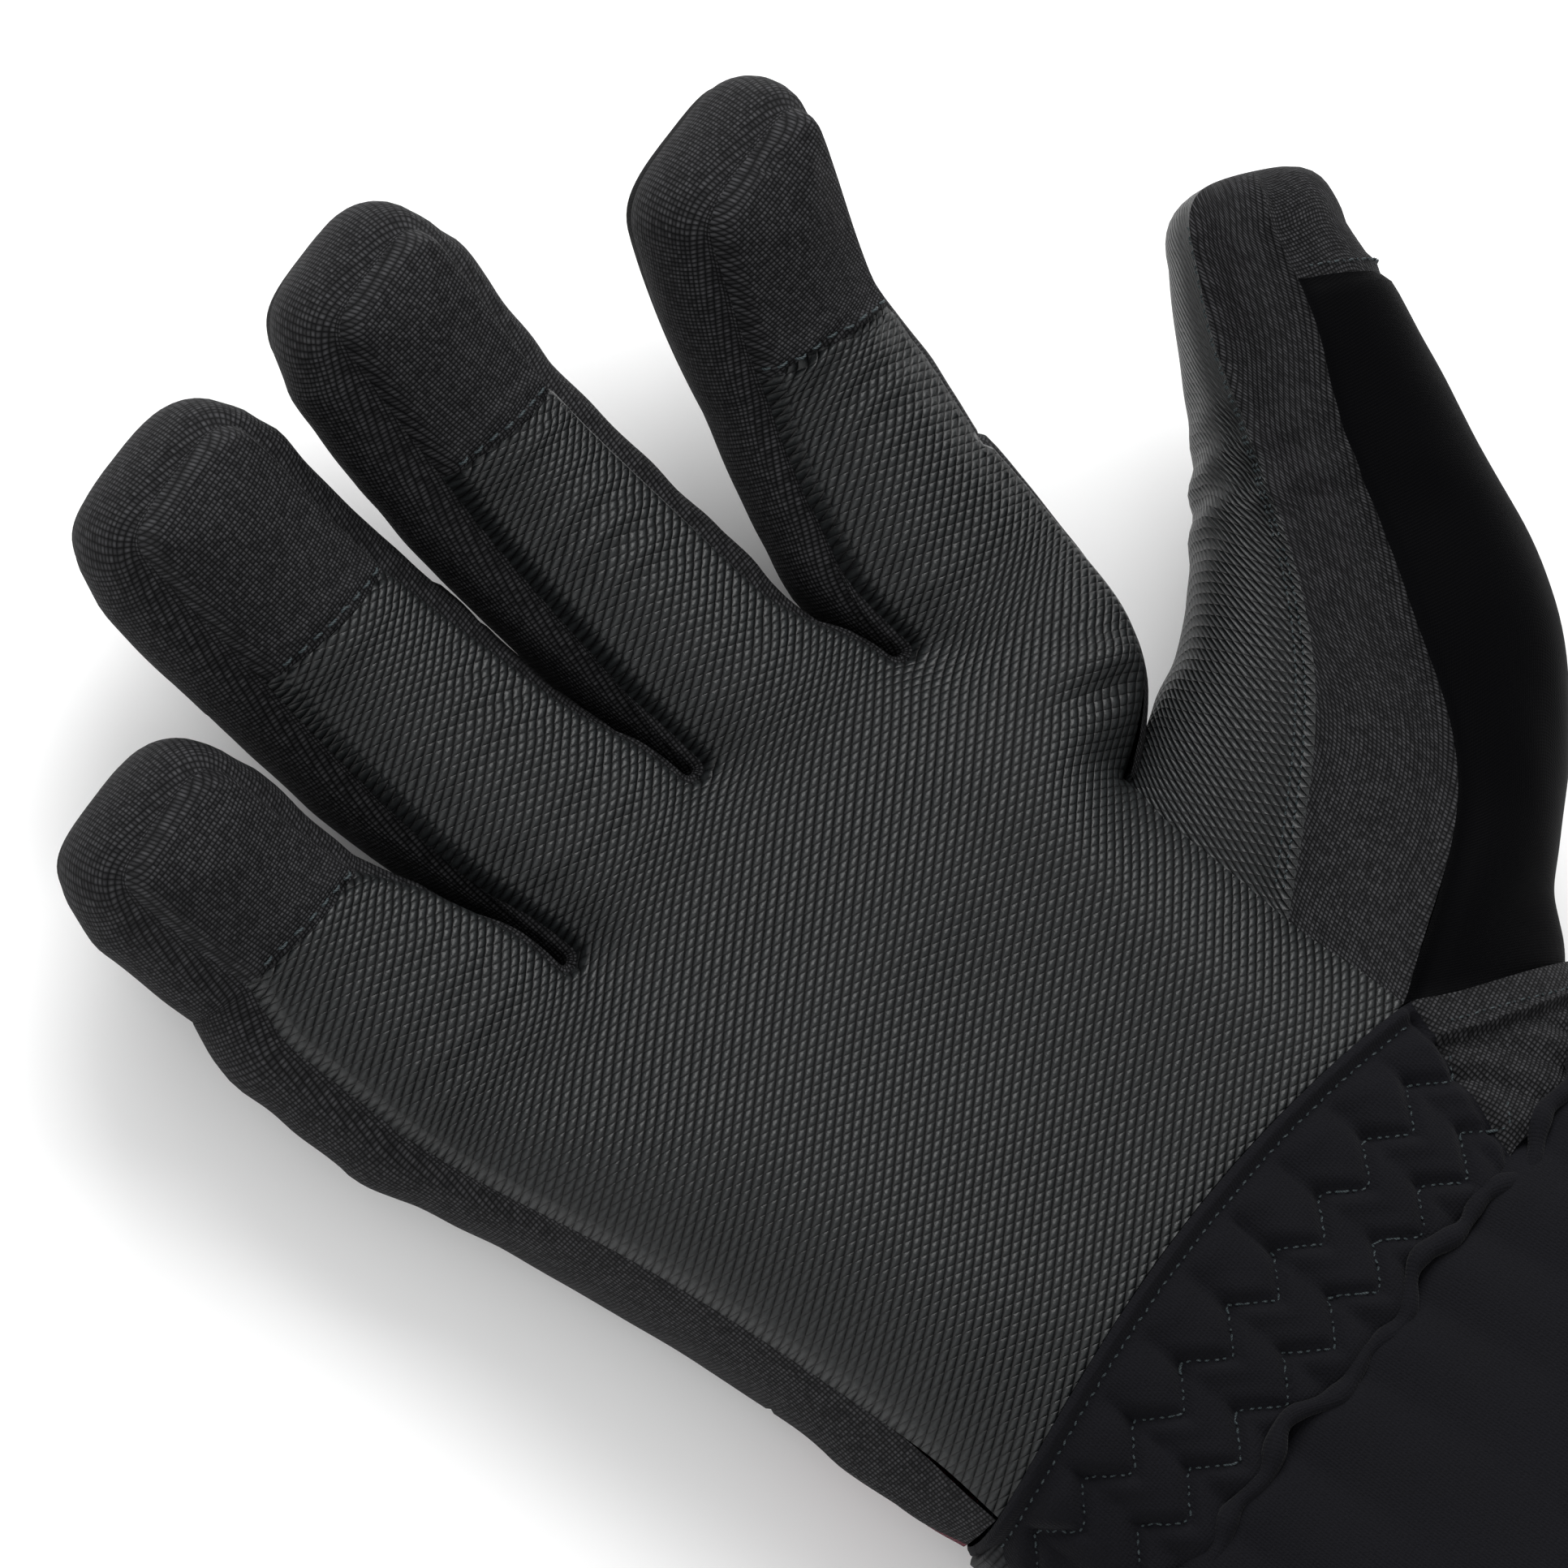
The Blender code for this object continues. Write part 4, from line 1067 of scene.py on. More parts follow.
def thumb_opening():
    """The hand's thumb opening as one loop in four strips, starting at the wrist corner on the palm side."""
    web, corner = MARKS["web_end"], MARKS["wrist_thumb"]
    palm = sheet_edge(PALM, OUTLINE.points, web, corner)[::-1]
    back = sheet_edge(BACK, BACK_POINTS, web, corner)
    column = WALL[LAST]
    around = []
    for share in np.linspace(0.0, 1.0, 30):
        turn = lerp(-0.47 * math.pi, 0.47 * math.pi, share)
        x = GUSSET_X + GUSSET_WIDTH * math.cos(turn) ** 0.8
        around.append((x, gusset_seam_y(x), WRIST_Z + math.copysign(ring_rise(x), turn)))
    split_palm = int(np.argmin(np.abs(palm[:, 1] - UPPER_ROOT[1])))
    split_back = int(np.argmin(np.abs(back[:, 1] - LOWER_ROOT[1])))
    web_cut = int(WALL_ROWS * 0.6)
    return (palm[: split_palm + 1], np.concatenate([palm[split_palm:], column[1: web_cut + 1]]),
            np.concatenate([column[web_cut:], back[1: split_back + 1]]),
            np.concatenate([back[split_back:], around[1:-1], palm[:1]]))


def gusset_seam_y(x):
    return GUSSET_TOP - GUSSET_FALL * np.clip((x - GUSSET_X) / GUSSET_WIDTH, 0.0, 1.0)


def thumb_frame(ring):
    x, y, z, heading, half_width, half_height = ring
    turn = math.radians(heading)
    ahead = np.array([math.cos(turn), math.sin(turn), THUMB_RISE])
    ahead /= np.linalg.norm(ahead)
    right = np.array([math.sin(turn), -math.cos(turn), 0.0])
    return np.array([x, y, z]), ahead, right, np.cross(right, ahead), half_width, half_height


def ring_loop(ring, seams, scale=1.0, advance=0.0):
    """One ring's points in four strips, as the opening has them."""
    centre, ahead, right, up, half_width, half_height = thumb_frame(ring)
    marks = [*seams, seams[0] + 360.0]
    strips = []
    for low, high, (_, count) in zip(marks, marks[1:], THUMB_STRIPS):
        across, rise = squared(np.radians(np.linspace(low, high, count + 1)), THUMB_ROUND)
        strips.append(centre + ahead * advance + (across * half_width * scale)[:, None] * right
                      + (rise * half_height * scale)[:, None] * up)
    return np.concatenate(strips)


def thumb_grid():
    """Rows of points from the opening to the tip, and each row's station; strips share their edge columns."""
    opening = []
    for strip, (_, count) in zip(thumb_opening(), THUMB_STRIPS):
        strip = resample(strip, 1.0)
        opening.append(read_off(strip, np.arange(len(strip)), np.linspace(0.0, len(strip) - 1.0, count + 1)))
    rings = [np.concatenate(opening)] + [ring_loop(*pair) for pair in zip(THUMB_RINGS, THUMB_SEAMS)]
    before = rings[0] * 2.0 - rings[1]
    after = rings[-1] + (rings[-1] - rings[-2]) * 0.8
    padded = [before, *rings, after]
    rows, spots = [], []
    for number, steps in enumerate(THUMB_STEPS):
        for share in np.linspace(0.0, 1.0, steps, endpoint=False):
            rows.append(spline_point(*padded[number: number + 4], share))
            spots.append(number + share)
    for step in range(THUMB_DOME + 1):
        turn = 0.5 * math.pi * step / THUMB_DOME
        scale, advance = max(math.cos(turn), 0.0) ** 0.6, 9.0 * math.sin(turn) ** 0.85
        rows.append(ring_loop(THUMB_RINGS[-1], THUMB_SEAMS[-1], scale, advance))
        spots.append(5.0 + step / THUMB_DOME)
    return np.array(rows), np.array(spots)


def thumb_folds(length, around, spots, edge_gap, strip):
    """Cloth relief of the thumb: seams, puffed strips and creases over the bend."""
    relief = -0.8 * bell(edge_gap, 0.0, 0.7) + 0.45 * bell(edge_gap, 2.6, 1.8)
    relief += 0.55 * cloth_noise(around, length, 22.0, 9.0) + 0.25 * cloth_noise(around, length, 8.0, 12.0)
    crease = np.cos(2.0 * math.pi * (length - 66.0 + 0.25 * around) / 7.5)
    relief += 0.4 * crease * bell(length, 62.0, 9.0) * (strip < 3)
    root = np.cos(2.0 * math.pi * (around * 0.9 + length * 0.5) / 17.0)
    relief += 0.5 * root * bell(length, 12.0, 12.0) * (strip == 3)
    hem = length - thumb_length(THUMB_HEM)
    folded = 0.8 * smooth(hem / 0.7 + 0.5) - 0.5 * bell(hem, HEM_FOLD, 0.5)
    relief += np.where(strip >= 2, folded * smooth(edge_gap / 1.4), 0.0)
    return relief * smooth(spots / 0.05) * (1.0 - smooth((spots - 5.2) / 0.6))


HEM_FOLD = 2.6                        # depth of the cap's folded hem, to its stitches
THUMB_LENGTHS = []                    # stations, and the distance along the thumb at each


def thumb_length(station):
    return float(np.interp(station, *THUMB_LENGTHS))


def build_thumb():
    rows, spots = thumb_grid()
    height, width = rows.shape[:2]
    lengths = run_length(rows.mean(axis=1))
    THUMB_LENGTHS[:] = [spots, lengths]
    points = rows.reshape(-1, 3)
    strip_of = np.concatenate([[number] * (count + 1) for number, (_, count) in enumerate(THUMB_STRIPS)])
    firsts = np.array([int(np.argmax(strip_of == number)) for number in range(4)])
    edges = [*firsts, *(firsts[1:] - 1), width - 1]
    step = np.linalg.norm(np.diff(rows, axis=1), axis=2)
    along = np.concatenate([np.zeros((height, 1)), np.cumsum(step, axis=1)], axis=1)
    gap = np.min([np.abs(along - along[:, [edge]]) for edge in edges], axis=0)
    around = along * (100.0 / np.maximum(along[:, [-1]], 1.0))
    faces, owner = zip(*[pair for pair in zip(*grid_faces(height, width))
                         if strip_of[pair[1][1]] == strip_of[pair[1][1] + 1]])
    normals = weld_normals(points, vertex_normals(points, faces))
    relief = thumb_folds(np.repeat(lengths, width), around.ravel(), np.repeat(spots, width), gap.ravel(),
                         np.tile(strip_of, height))
    points = points + normals * relief[:, None]
    normals = weld_normals(points, vertex_normals(points, faces))
    climb = np.linalg.norm(np.diff(rows, axis=0), axis=2)
    column_length = np.concatenate([np.zeros((1, width)), np.cumsum(climb, axis=0)])
    uvs = np.stack([(along - along[:, firsts[strip_of]]).ravel(), column_length.ravel()], axis=1)
    for part in (0, 1):
        for number, (name, _) in enumerate(THUMB_STRIPS):
            for capped in (False, True):
                chosen = [index for index, (row, column) in enumerate(owner) if strip_of[column] == number
                          and (spots[row] >= THUMB_CUT) == bool(part)
                          and (spots[row] >= THUMB_HEM and number >= 2) == capped]
                if chosen:
                    cloth = OXFORD if capped else {"grip": GRIP, "shell": SOFTSHELL}.get(name, OXFORD)
                    label = f"thumb_{part}_{name}" + ("_cap" if capped else "")
                    bend_thumb(cut_piece(label, (points, faces, uvs, normals), chosen, cloth))
    return points.reshape(height, width, 3), normals.reshape(height, width, 3), spots


def weld_normals(points, normals):
    """Gives points that lie on each other the same normal."""
    keys = {}
    for index, key in enumerate(map(tuple, np.round(points / 0.02).astype(int))):
        keys.setdefault(key, []).append(index)
    result = normals.copy()
    for group in keys.values():
        if len(group) > 1:
            total = normals[group].sum(axis=0)
            result[group] = total / (np.linalg.norm(total) + 1e-12)
    return result


def bend_thumb(piece):
    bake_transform(piece)


# ---------------------------------------------------------------- the gathered wrist and the cuff
WRIST_END = -15.0                     # the rolled edge under which the cuff starts
CUFF_TOP, HEM_Y = -12.5, -86.0
CUFF_HALF_WIDTH, CUFF_HALF_HEIGHT = 62.5, 37.3
CUFF_HINGE_Y = JOINTS["wrist"]["pos_m"][1] / MM + PALM_Y
ZIGZAG = 9.4                          # period of the elastic's stitching
ZIGZAG_ROWS = (-0.6, -9.6)
CUFF_SEAMS = (14.0, 166.0)            # degrees round the ring, where the cuff's palm and back panels meet
HEM_STITCH = 11.0                     # the hem's stitching, above its edge


class RingTable:
    """The wrist's cross-section by distance round it, from the little-finger side over the palm."""

    def __init__(self):
        self.turn = np.linspace(math.pi, -math.pi, 1441)
        self.across, self.rise = squared(self.turn, 2.0 / RING_POWER)
        self.length = run_length(np.stack([self.across * WRIST_HALF_WIDTH, self.rise * WRIST_HALF_HEIGHT],
                                          axis=1))
        self.total = self.length[-1]

    def unit(self, distance):
        distance = np.mod(distance, self.total)
        return np.interp(distance, self.length, self.across), np.interp(distance, self.length, self.rise)

    def place(self, distance, y, half_width=WRIST_HALF_WIDTH, half_height=WRIST_HALF_HEIGHT,
              centre_z=WRIST_Z):
        """Points on a ring of the given size, and the directions out of it."""
        across, rise = self.unit(distance)
        y = np.broadcast_to(y, across.shape)
        slopes = [np.sign(value) * np.abs(value) ** (RING_POWER - 1.0) for value in (across, rise)]
        normal = unit(np.stack([slopes[0] / half_width, 0.0 * across, slopes[1] / half_height], axis=1))
        points = np.stack([WRIST_X + across * half_width, y, centre_z + rise * half_height], axis=1)
        return points, normal

    def at_angle(self, degrees):
        """Distance round the ring of an angle counted from +X over the palm."""
        return float(np.interp(-math.radians(degrees), -self.turn, self.length))


RING = RingTable()
GUSSET_EDGE = RING.at_angle(math.degrees(math.acos(
    ((GUSSET_X - WRIST_X) / WRIST_HALF_WIDTH) ** (RING_POWER / 2.0))))
GUSSET_FAR = RING.total - GUSSET_EDGE


def opening_y(distance):
    """Height of the seam that joins the wrist to the hand and the thumb, by distance round the wrist."""
    x = WRIST_X + RING.unit(distance)[0] * WRIST_HALF_WIDTH
    return np.where(x <= GUSSET_X, wrist_seam_y(np.minimum(x, GUSSET_X)), gusset_seam_y(x))


def fold_wave(distance, pitch, sharp=0.7):
    return np.abs(np.sin(math.pi * distance / pitch)) ** sharp


def zigzag_y(distance, centre):
    phase = np.mod(distance / ZIGZAG, 1.0)
    return centre + 2.35 * (4.0 * np.abs(phase - 0.5) - 1.0)


def wrist_relief(distance, y, below, gusset):
    """How far the gathered cloth stands off the wrist's ring; below is the distance under the upper seam."""
    drift = 1.1 * cloth_noise(distance, y, 21.0, 1.0)
    height = 0.95 * bell(below, 0.9, 0.75) - 0.45 * bell(below, 2.3, 0.6)
    folds = fold_wave(distance + drift, ZIGZAG) - 0.45
    upper = smooth((below - 2.2) / 3.5)
    strength = 1.0 + 0.45 * cloth_noise(distance, y * 0.2, 9.0, 6.0)
    above = smooth((y - ZIGZAG_ROWS[0] + 1.0) / 5.0)
    height += folds * upper * strength * lerp(1.0, 1.75, above)
    for centre in ZIGZAG_ROWS:
        gap = np.abs(y - zigzag_y(distance, centre)) * 0.707
        height += (-0.75 * bell(gap, 0.0, 0.6) + 0.3 * bell(gap, 1.9, 1.1)) * upper
    height += 0.45 * cloth_noise(distance, y, 7.0, 8.0) * upper
    tucks = fold_wave(distance + 0.45 * y + 2.0 * cloth_noise(distance, y, 12.0, 14.0), 6.4, 0.8) - 0.5
    grown = 1.5 * smooth((below - 5.6) / 4.0) * (1.0 - 0.5 * smooth((below - 17.0) / 6.0))
    sewn_band = 1.35 * (1.0 - smooth((below - 5.2) / 1.0)) + 0.5 * bell(below, 5.0, 0.5)
    pulled = (sewn_band + tucks * grown * (1.0 + 0.5 * cloth_noise(distance, y, 10.0, 15.0))
              + 0.7 * cloth_noise(distance, y, 17.0, 16.0))
    return np.where(gusset, pulled, height)


def wrist_end_y(distance):
    """The wrist's wavy lower edge."""
    share = 2.0 * math.pi * distance / RING.total
    return WRIST_END + 1.3 * np.sin(8.0 * share) + 0.9 * np.sin(19.0 * share + 1.0)


def wrist_grid():
    columns, rows = 372, 46
    distance = np.linspace(0.0, RING.total, columns, endpoint=False)
    top, bottom = opening_y(distance), wrist_end_y(distance)
    gusset = (distance > GUSSET_EDGE) & (distance < GUSSET_FAR)
    from_edges = np.minimum(np.abs(distance - GUSSET_EDGE), np.abs(distance - GUSSET_FAR))
    all_points, all_spots = [], []
    for share in np.linspace(0.0, 1.0, rows):
        y = top + (bottom - top) * share
        lean = 0.3 * (GUSSET_TOP - y) * (bell(distance, GUSSET_FAR, 11.0) - bell(distance, GUSSET_EDGE, 11.0))
        spot = distance + lean
        points, normal = RING.place(spot, y)
        relief = wrist_relief(spot, y, top - y, gusset)
        relief -= 0.9 * bell(from_edges, 0.0, 0.8) + 0.7 * bell(y, bottom, 1.2)
        all_points.append(points + normal * (relief + 0.25)[:, None])
        all_spots.append(spot)
    return np.array(all_points), np.array(all_spots), gusset


def bend_wrist(piece):
    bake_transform(piece)


def build_wrist():
    grid, spots, gusset = wrist_grid()
    points = grid.reshape(-1, 3)
    faces, owner = grid_faces(*grid.shape[:2], around=True)
    normals = vertex_normals(points, faces)
    uvs = np.stack([spots.ravel(), points[:, 1]], axis=1)
    for name, cloth, flag in (("wrist_panel_skin", BRUSHED, False), ("wrist_gusset_skin", OXFORD, True)):
        chosen = [index for index, (_, column) in enumerate(owner) if bool(gusset[column]) == flag]
        bend_wrist(cut_piece(name, (points, faces, uvs, normals), chosen, cloth))
    return uvs, points, normals


def cuff_size(y):
    """Half width, half height and centre height of the cuff at y; its hem reaches the floor."""
    share = np.clip((CUFF_HINGE_Y - y) / (CUFF_HINGE_Y - HEM_Y), 0.0, 1.0)
    flare = share * (0.72 + 0.28 * share)
    half_width = lerp(WRIST_HALF_WIDTH, CUFF_HALF_WIDTH, flare)
    half_height = lerp(WRIST_HALF_HEIGHT, CUFF_HALF_HEIGHT, flare)
    bottom = (WRIST_Z - WRIST_HALF_HEIGHT) * (1.0 - share)
    return half_width, half_height, bottom + half_height


def cuff_relief(distance, y):
    down = CUFF_TOP - y
    gathers = fold_wave(distance + 3.0 * cloth_noise(distance, y, 30.0, 21.0), 13.0, 1.2) - 0.5
    relief = 1.5 * gathers * np.exp(-down / 15.0)
    relief += 0.95 * cloth_noise(distance, y * 0.55, 30.0, 22.0) * smooth(down / 12.0)
    relief += 0.3 * cloth_noise(distance, y, 11.0, 23.0)
    relief += 0.35 * bell(y, HEM_Y + 5.5, 4.0) - 0.7 * bell(y, HEM_Y + HEM_STITCH, 0.7)
    for angle in CUFF_SEAMS:
        gap = np.abs(distance - RING.at_angle(angle))
        relief += -0.9 * bell(gap, 0.0, 0.7) + 0.4 * bell(gap, 2.2, 1.2)
    return relief


CUFF_ROWS, CUFF_COLUMNS = 78, 300
FLOOR_GAP = 0.15                      # the cuff's underside keeps this far off the floor
# how far each row of the turned-in hem lies inside the cuff's outside, and below its edge
HEM_TURN = ((-0.5, 0.6), (-1.4, 0.85), (-2.3, 0.5), (-2.8, -0.6), (-2.9, -10.0), (-3.0, -24.0))
HEM_OUTER_ROWS = 3                    # rows of the turned hem that still show the cuff's own cloth


def build_cuff():
    distance = np.linspace(0.0, RING.total, CUFF_COLUMNS, endpoint=False)
    lines = []
    for y in np.linspace(CUFF_TOP, HEM_Y, CUFF_ROWS):
        line_y = np.full(CUFF_COLUMNS, y)
        lift = cuff_relief(distance, line_y) - 1.8 * (1.0 - smooth((CUFF_TOP - y) / 5.0))
        points, normal = RING.place(distance, line_y, *cuff_size(y))
        lines.append(points + normal * np.maximum(lift, -2.4)[:, None])
    for inset, drop in HEM_TURN:
        points, normal = RING.place(distance, HEM_Y - drop, *cuff_size(max(HEM_Y - drop, HEM_Y)))
        lines.append(points + normal * inset)
    points = np.concatenate(lines)
    points[:, 2] = np.maximum(points[:, 2], FLOOR_GAP)
    faces, owner = grid_faces(len(lines), CUFF_COLUMNS, around=True)
    uvs = np.stack([np.tile(distance, len(lines)), points[:, 1]], axis=1)
    mesh = (points, faces, uvs, vertex_normals(points, faces))
    high, low = (RING.at_angle(angle) for angle in CUFF_SEAMS)
    kinds = ["cuff_facing" if row >= CUFF_ROWS + HEM_OUTER_ROWS else
             "cuff_palm_skin" if low <= distance[column] < high else "cuff_back_skin"
             for row, column in owner]
    for name, cloth in (("cuff_palm_skin", BRUSHED), ("cuff_back_skin", BRUSHED), ("cuff_facing", LINING)):
        chosen = [index for index, kind in enumerate(kinds) if kind == name]
        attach(cut_piece(name, mesh, chosen, cloth), "cuff")
    return uvs, points, mesh[3]


def build_lining():
    """The fleece inside, from the hem up into the closed hand."""
    columns = 160
    distance = np.linspace(0.0, RING.total, columns, endpoint=False)
    lines = []
    for y in np.linspace(HEM_Y + 14.0, 24.0, 70):
        line_y = np.full(columns, y)
        points, normal = RING.place(distance, line_y, *cuff_size(y))
        inset = -3.6 - 1.6 * smooth((y + 30.0) / 20.0) - 4.0 * smooth((y - 5.0) / 15.0)
        relief = 0.7 * cloth_noise(distance, line_y, 13.0, 31.0)
        relief += 0.3 * cloth_noise(distance, line_y, 5.0, 32.0)
        lines.append(points + normal * (inset + relief)[:, None])
    last = lines[-1]
    centre = last.mean(axis=0)
    for scale in (0.8, 0.5, 0.2, 0.02):
        lines.append(centre + (last - centre) * scale + np.array([0.0, 3.0 * (1.0 - scale), 0.0]))
    points = np.concatenate(lines)
    faces = [face[::-1] for face in grid_faces(len(lines), columns, around=True)[0]]
    uvs = np.stack([np.tile(distance, len(lines)), points[:, 1]], axis=1)
    bend_wrist(make_piece("inner_lining", points, faces, uvs, LINING, vertex_normals(points, faces)))


# ---------------------------------------------------------------- trims: tubes, stitches, strap
def frames_along(line, normals, closed):
    """Sideways and upward directions at each point of a line."""
    ahead = np.roll(line, -1, axis=0) - np.roll(line, 1, axis=0)
    if not closed:
        ahead[0], ahead[-1] = line[1] - line[0], line[-1] - line[-2]
    ahead = unit(ahead)
    up = unit(normals - ahead * np.sum(normals * ahead, axis=1)[:, None])
    return np.cross(ahead, up), up


def tube_mesh(line, normals, radius, closed=False, sides=10):
    """Points, faces and flat coordinates of a tube along a line; radius may vary along it."""
    side, up = frames_along(line, normals, closed)
    radius = np.broadcast_to(radius, len(line))
    lengths, count = run_length(line), len(line)
    points, uvs = [], []
    for number in range(sides):
        turn = 2.0 * math.pi * number / sides
        points.append(line + (side * math.cos(turn) + up * math.sin(turn)) * radius[:, None])
        uvs.append(np.stack([np.full(count, 0.8 * radius.max() * turn), lengths], axis=1))
    faces, _ = grid_faces(sides, count, around=closed, over=True)
    if not closed:
        faces.append([number * count for number in range(sides)])
        faces.append([number * count + count - 1 for number in reversed(range(sides))])
    return np.concatenate(points), faces, np.concatenate(uvs)


def joined(parts):
    """Several (points, faces, flat coordinates) as one."""
    points, faces, uvs, total = [], [], [], 0
    for own_points, own_faces, own_uvs in parts:
        faces += [[index + total for index in face] for face in own_faces]
        points.append(own_points)
        uvs.append(own_uvs)
        total += len(own_points)
    return np.concatenate(points), faces, np.concatenate(uvs)


# height along one stitch, and its thickness as a share of the radius
STITCH_ARCH = np.array([-0.3, 0.12, 0.24, 0.24, 0.12, -0.3])
STITCH_SWELL = np.array([0.55, 0.95, 1.0, 1.0, 0.95, 0.55])


def stitch_mesh(line, normals, pitch, length, radius):
    """A run of single stitches along a line, each one an arch whose ends go into the cloth."""
    lengths = run_length(line)
    count = max(1, int(lengths[-1] / pitch))
    parts = []
    for number in range(count):
        start = (number + 0.5) * lengths[-1] / count - length / 2.0
        spots = start + np.linspace(0.0, length, len(STITCH_ARCH))
        spine, up = read_off(line, lengths, spots), read_off(normals, lengths, spots)
        parts.append(tube_mesh(spine + up * STITCH_ARCH[:, None], up, radius * STITCH_SWELL, sides=6))
    return joined(parts)


def trim_piece(name, parts, material):
    return make_piece(name, *joined(parts), material)


def sewn(surface, xs, ys, *size):
    """Stitches on a surface, along a line given in its flat coordinates."""
    flat, points, normals = surface
    spots, ups = [], []
    for spot in np.stack(np.broadcast_arrays(xs, ys), axis=1):
        gap = np.sum((flat - spot) ** 2, axis=1)
        near = np.argpartition(gap, 3)[:3]
        weight = 1.0 / (gap[near] + 1e-3)
        weight /= weight.sum()
        spots.append(weight @ points[near])
        ups.append(weight @ normals[near])
    return stitch_mesh(np.array(spots), unit(np.array(ups)), *size)


def cap_stitches():
    for digit in DIGIT.values():
        xs = np.linspace(-0.86, 0.86, 24) * digit.cap_half + digit.centre_x(digit.flat_y(digit.cap))
        stitches = sewn(PALM, xs, cap_y(digit, xs) + 1.3, 2.3, 1.7, 0.2)
        bend_onto(trim_piece(f"stitches_{digit.name}_cap", [stitches], THREAD), digit.name, 1)


def crotch_rolls():
    """The rolled lips of cloth round the foot of each gap between fingers."""
    for number in range(3):
        middle = MARKS[f"crotch_{number}"]
        for side, name in ((-1, ORDER[number]), (1, ORDER[number + 1])):
            columns = WALL[range(middle, middle + side * 15, side)]
            line, inward = columns[:, 0], unit(columns[:, 1] - columns[:, 0])
            up = np.tile([0.0, -0.2, 1.0], (len(line), 1))
            fade = smooth((np.arange(len(line), 0, -1) - 0.5) / 7.0)
            line = line + up * (0.35 * fade[:, None]) + inward * 0.45
            roll = tube_mesh(line, up, 0.25 + 0.95 * fade)
            bend_onto(trim_piece(f"crotch_roll_{name}_{number}", [roll], OXFORD), name, 0)


def wrist_trims():
    """The zigzag rows and seam stitches of the wrist, and the rolled piping where the cuff starts."""
    parts = []
    for start, end in ((1.0, GUSSET_EDGE - 1.0), (GUSSET_FAR + 1.0, RING.total - 1.0)):
        for centre in ZIGZAG_ROWS:
            spots = np.arange(start, end, 1.15)
            parts.append(sewn(WRIST, spots, zigzag_y(spots, centre), 2.25, 1.7, 0.21))
        spots = np.arange(start, end, 1.5)
        parts.append(sewn(WRIST, spots, opening_y(spots) - 2.4, 2.7, 1.9, 0.2))
    spots = np.arange(GUSSET_EDGE + 1.5, GUSSET_FAR - 1.5, 1.5)
    parts.append(sewn(WRIST, spots, opening_y(spots) - 4.4, 2.4, 1.8, 0.2))
    bend_wrist(trim_piece("stitches_wrist", parts, THREAD))
    around = np.linspace(0.0, RING.total, 330, endpoint=False)
    line, normal = RING.place(around, wrist_end_y(around) + 0.1)
    line = line + normal * (0.35 + 0.35 * np.sin(16.0 * math.pi * around / RING.total))[:, None]
    swell = 1.25 + 0.22 * np.sin(2.0 * math.pi * around / 11.3) + 0.15 * np.sin(2.0 * math.pi * around / 5.1)
    roll = tube_mesh(line, normal, swell, closed=True, sides=12)
    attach(trim_piece("cuff_piping_roll", [roll], BRUSHED), "cuff")


def cuff_stitches():
    size = (3.0, 2.2, 0.22)
    parts = [sewn(CUFF, np.arange(0.5, RING.total - 0.5, 2.0), HEM_Y + HEM_STITCH, *size)]
    for angle in CUFF_SEAMS:
        ys = np.arange(CUFF_TOP - 4.0, HEM_Y + 2.0, -2.0)
        parts.append(sewn(CUFF, RING.at_angle(angle) + 1.6, ys, *size))
    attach(trim_piece("stitches_cuff", parts, THREAD), "cuff")


def thumb_stitches():
    """The doubled stitching along the grip's upper seam, and the row on the cap's hem."""
    rows, normals, spots = THUMB
    grip = THUMB_STRIPS[0][1] + 1
    for part in (0, 1):
        chosen = np.where(((spots >= THUMB_CUT) == bool(part)) & (spots > 0.12) & (spots < 5.3))[0]
        parts = [stitch_mesh(rows[chosen, column], normals[chosen, column], 1.9, 1.5, 0.2)
                 for column in (grip + 1, grip + 2)]
        bend_thumb(trim_piece(f"stitches_thumb_{part}", parts, THREAD))
    hem = int(np.argmin(np.abs(THUMB_LENGTHS[1] - thumb_length(THUMB_HEM) - HEM_FOLD)))
    shell = sum(count + 1 for _, count in THUMB_STRIPS[:3])
    line, up = rows[hem, shell + 2: shell + 50], normals[hem, shell + 2: shell + 50]
    bend_thumb(trim_piece("stitches_thumb_cap", [stitch_mesh(line, up, 2.3, 1.7, 0.2)], THREAD))


STRAP_Y, STRAP_WIDTH = -0.1, 8.0
STRAP_START = 170.0                   # degrees round the ring, on the little-finger side
STRAP_SHARE = 0.52                    # of the ring's length that the strap leaves free


def build_strap():
    """Ribbed webbing over the back of the wrist, its ends turned under."""
    first = RING.at_angle(STRAP_START)
    spots = np.linspace(-first, RING.total - first - RING.total * STRAP_SHARE, 150)
    profile = [(-0.5, -1.2), (-0.5, 0.35)] + [(share, 0.62) for share in np.linspace(-0.48, 0.48, 11)]
    profile += [(0.5, 0.35), (0.5, -1.2)]
    ends = np.minimum(spots - spots[0], spots[-1] - spots)
    lines, uvs = [], []
    for share, lift in profile:
        y = np.full(len(spots), STRAP_Y + STRAP_WIDTH * share)
        points, normal = RING.place(-spots, y)
        rise = 1.35 + lift - 2.6 * (1.0 - smooth(ends / 3.0)) + 0.25 * np.sin(spots / 9.0)
        lines.append(points + normal * rise[:, None])
        uvs.append(np.stack([y, spots], axis=1))
    faces = [face[::-1] for face in grid_faces(len(lines), len(spots))[0]]
    strap = make_piece("wrist_strap_webbing", np.concatenate(lines), faces, np.concatenate(uvs), WEBBING)
    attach(strap, "hand")


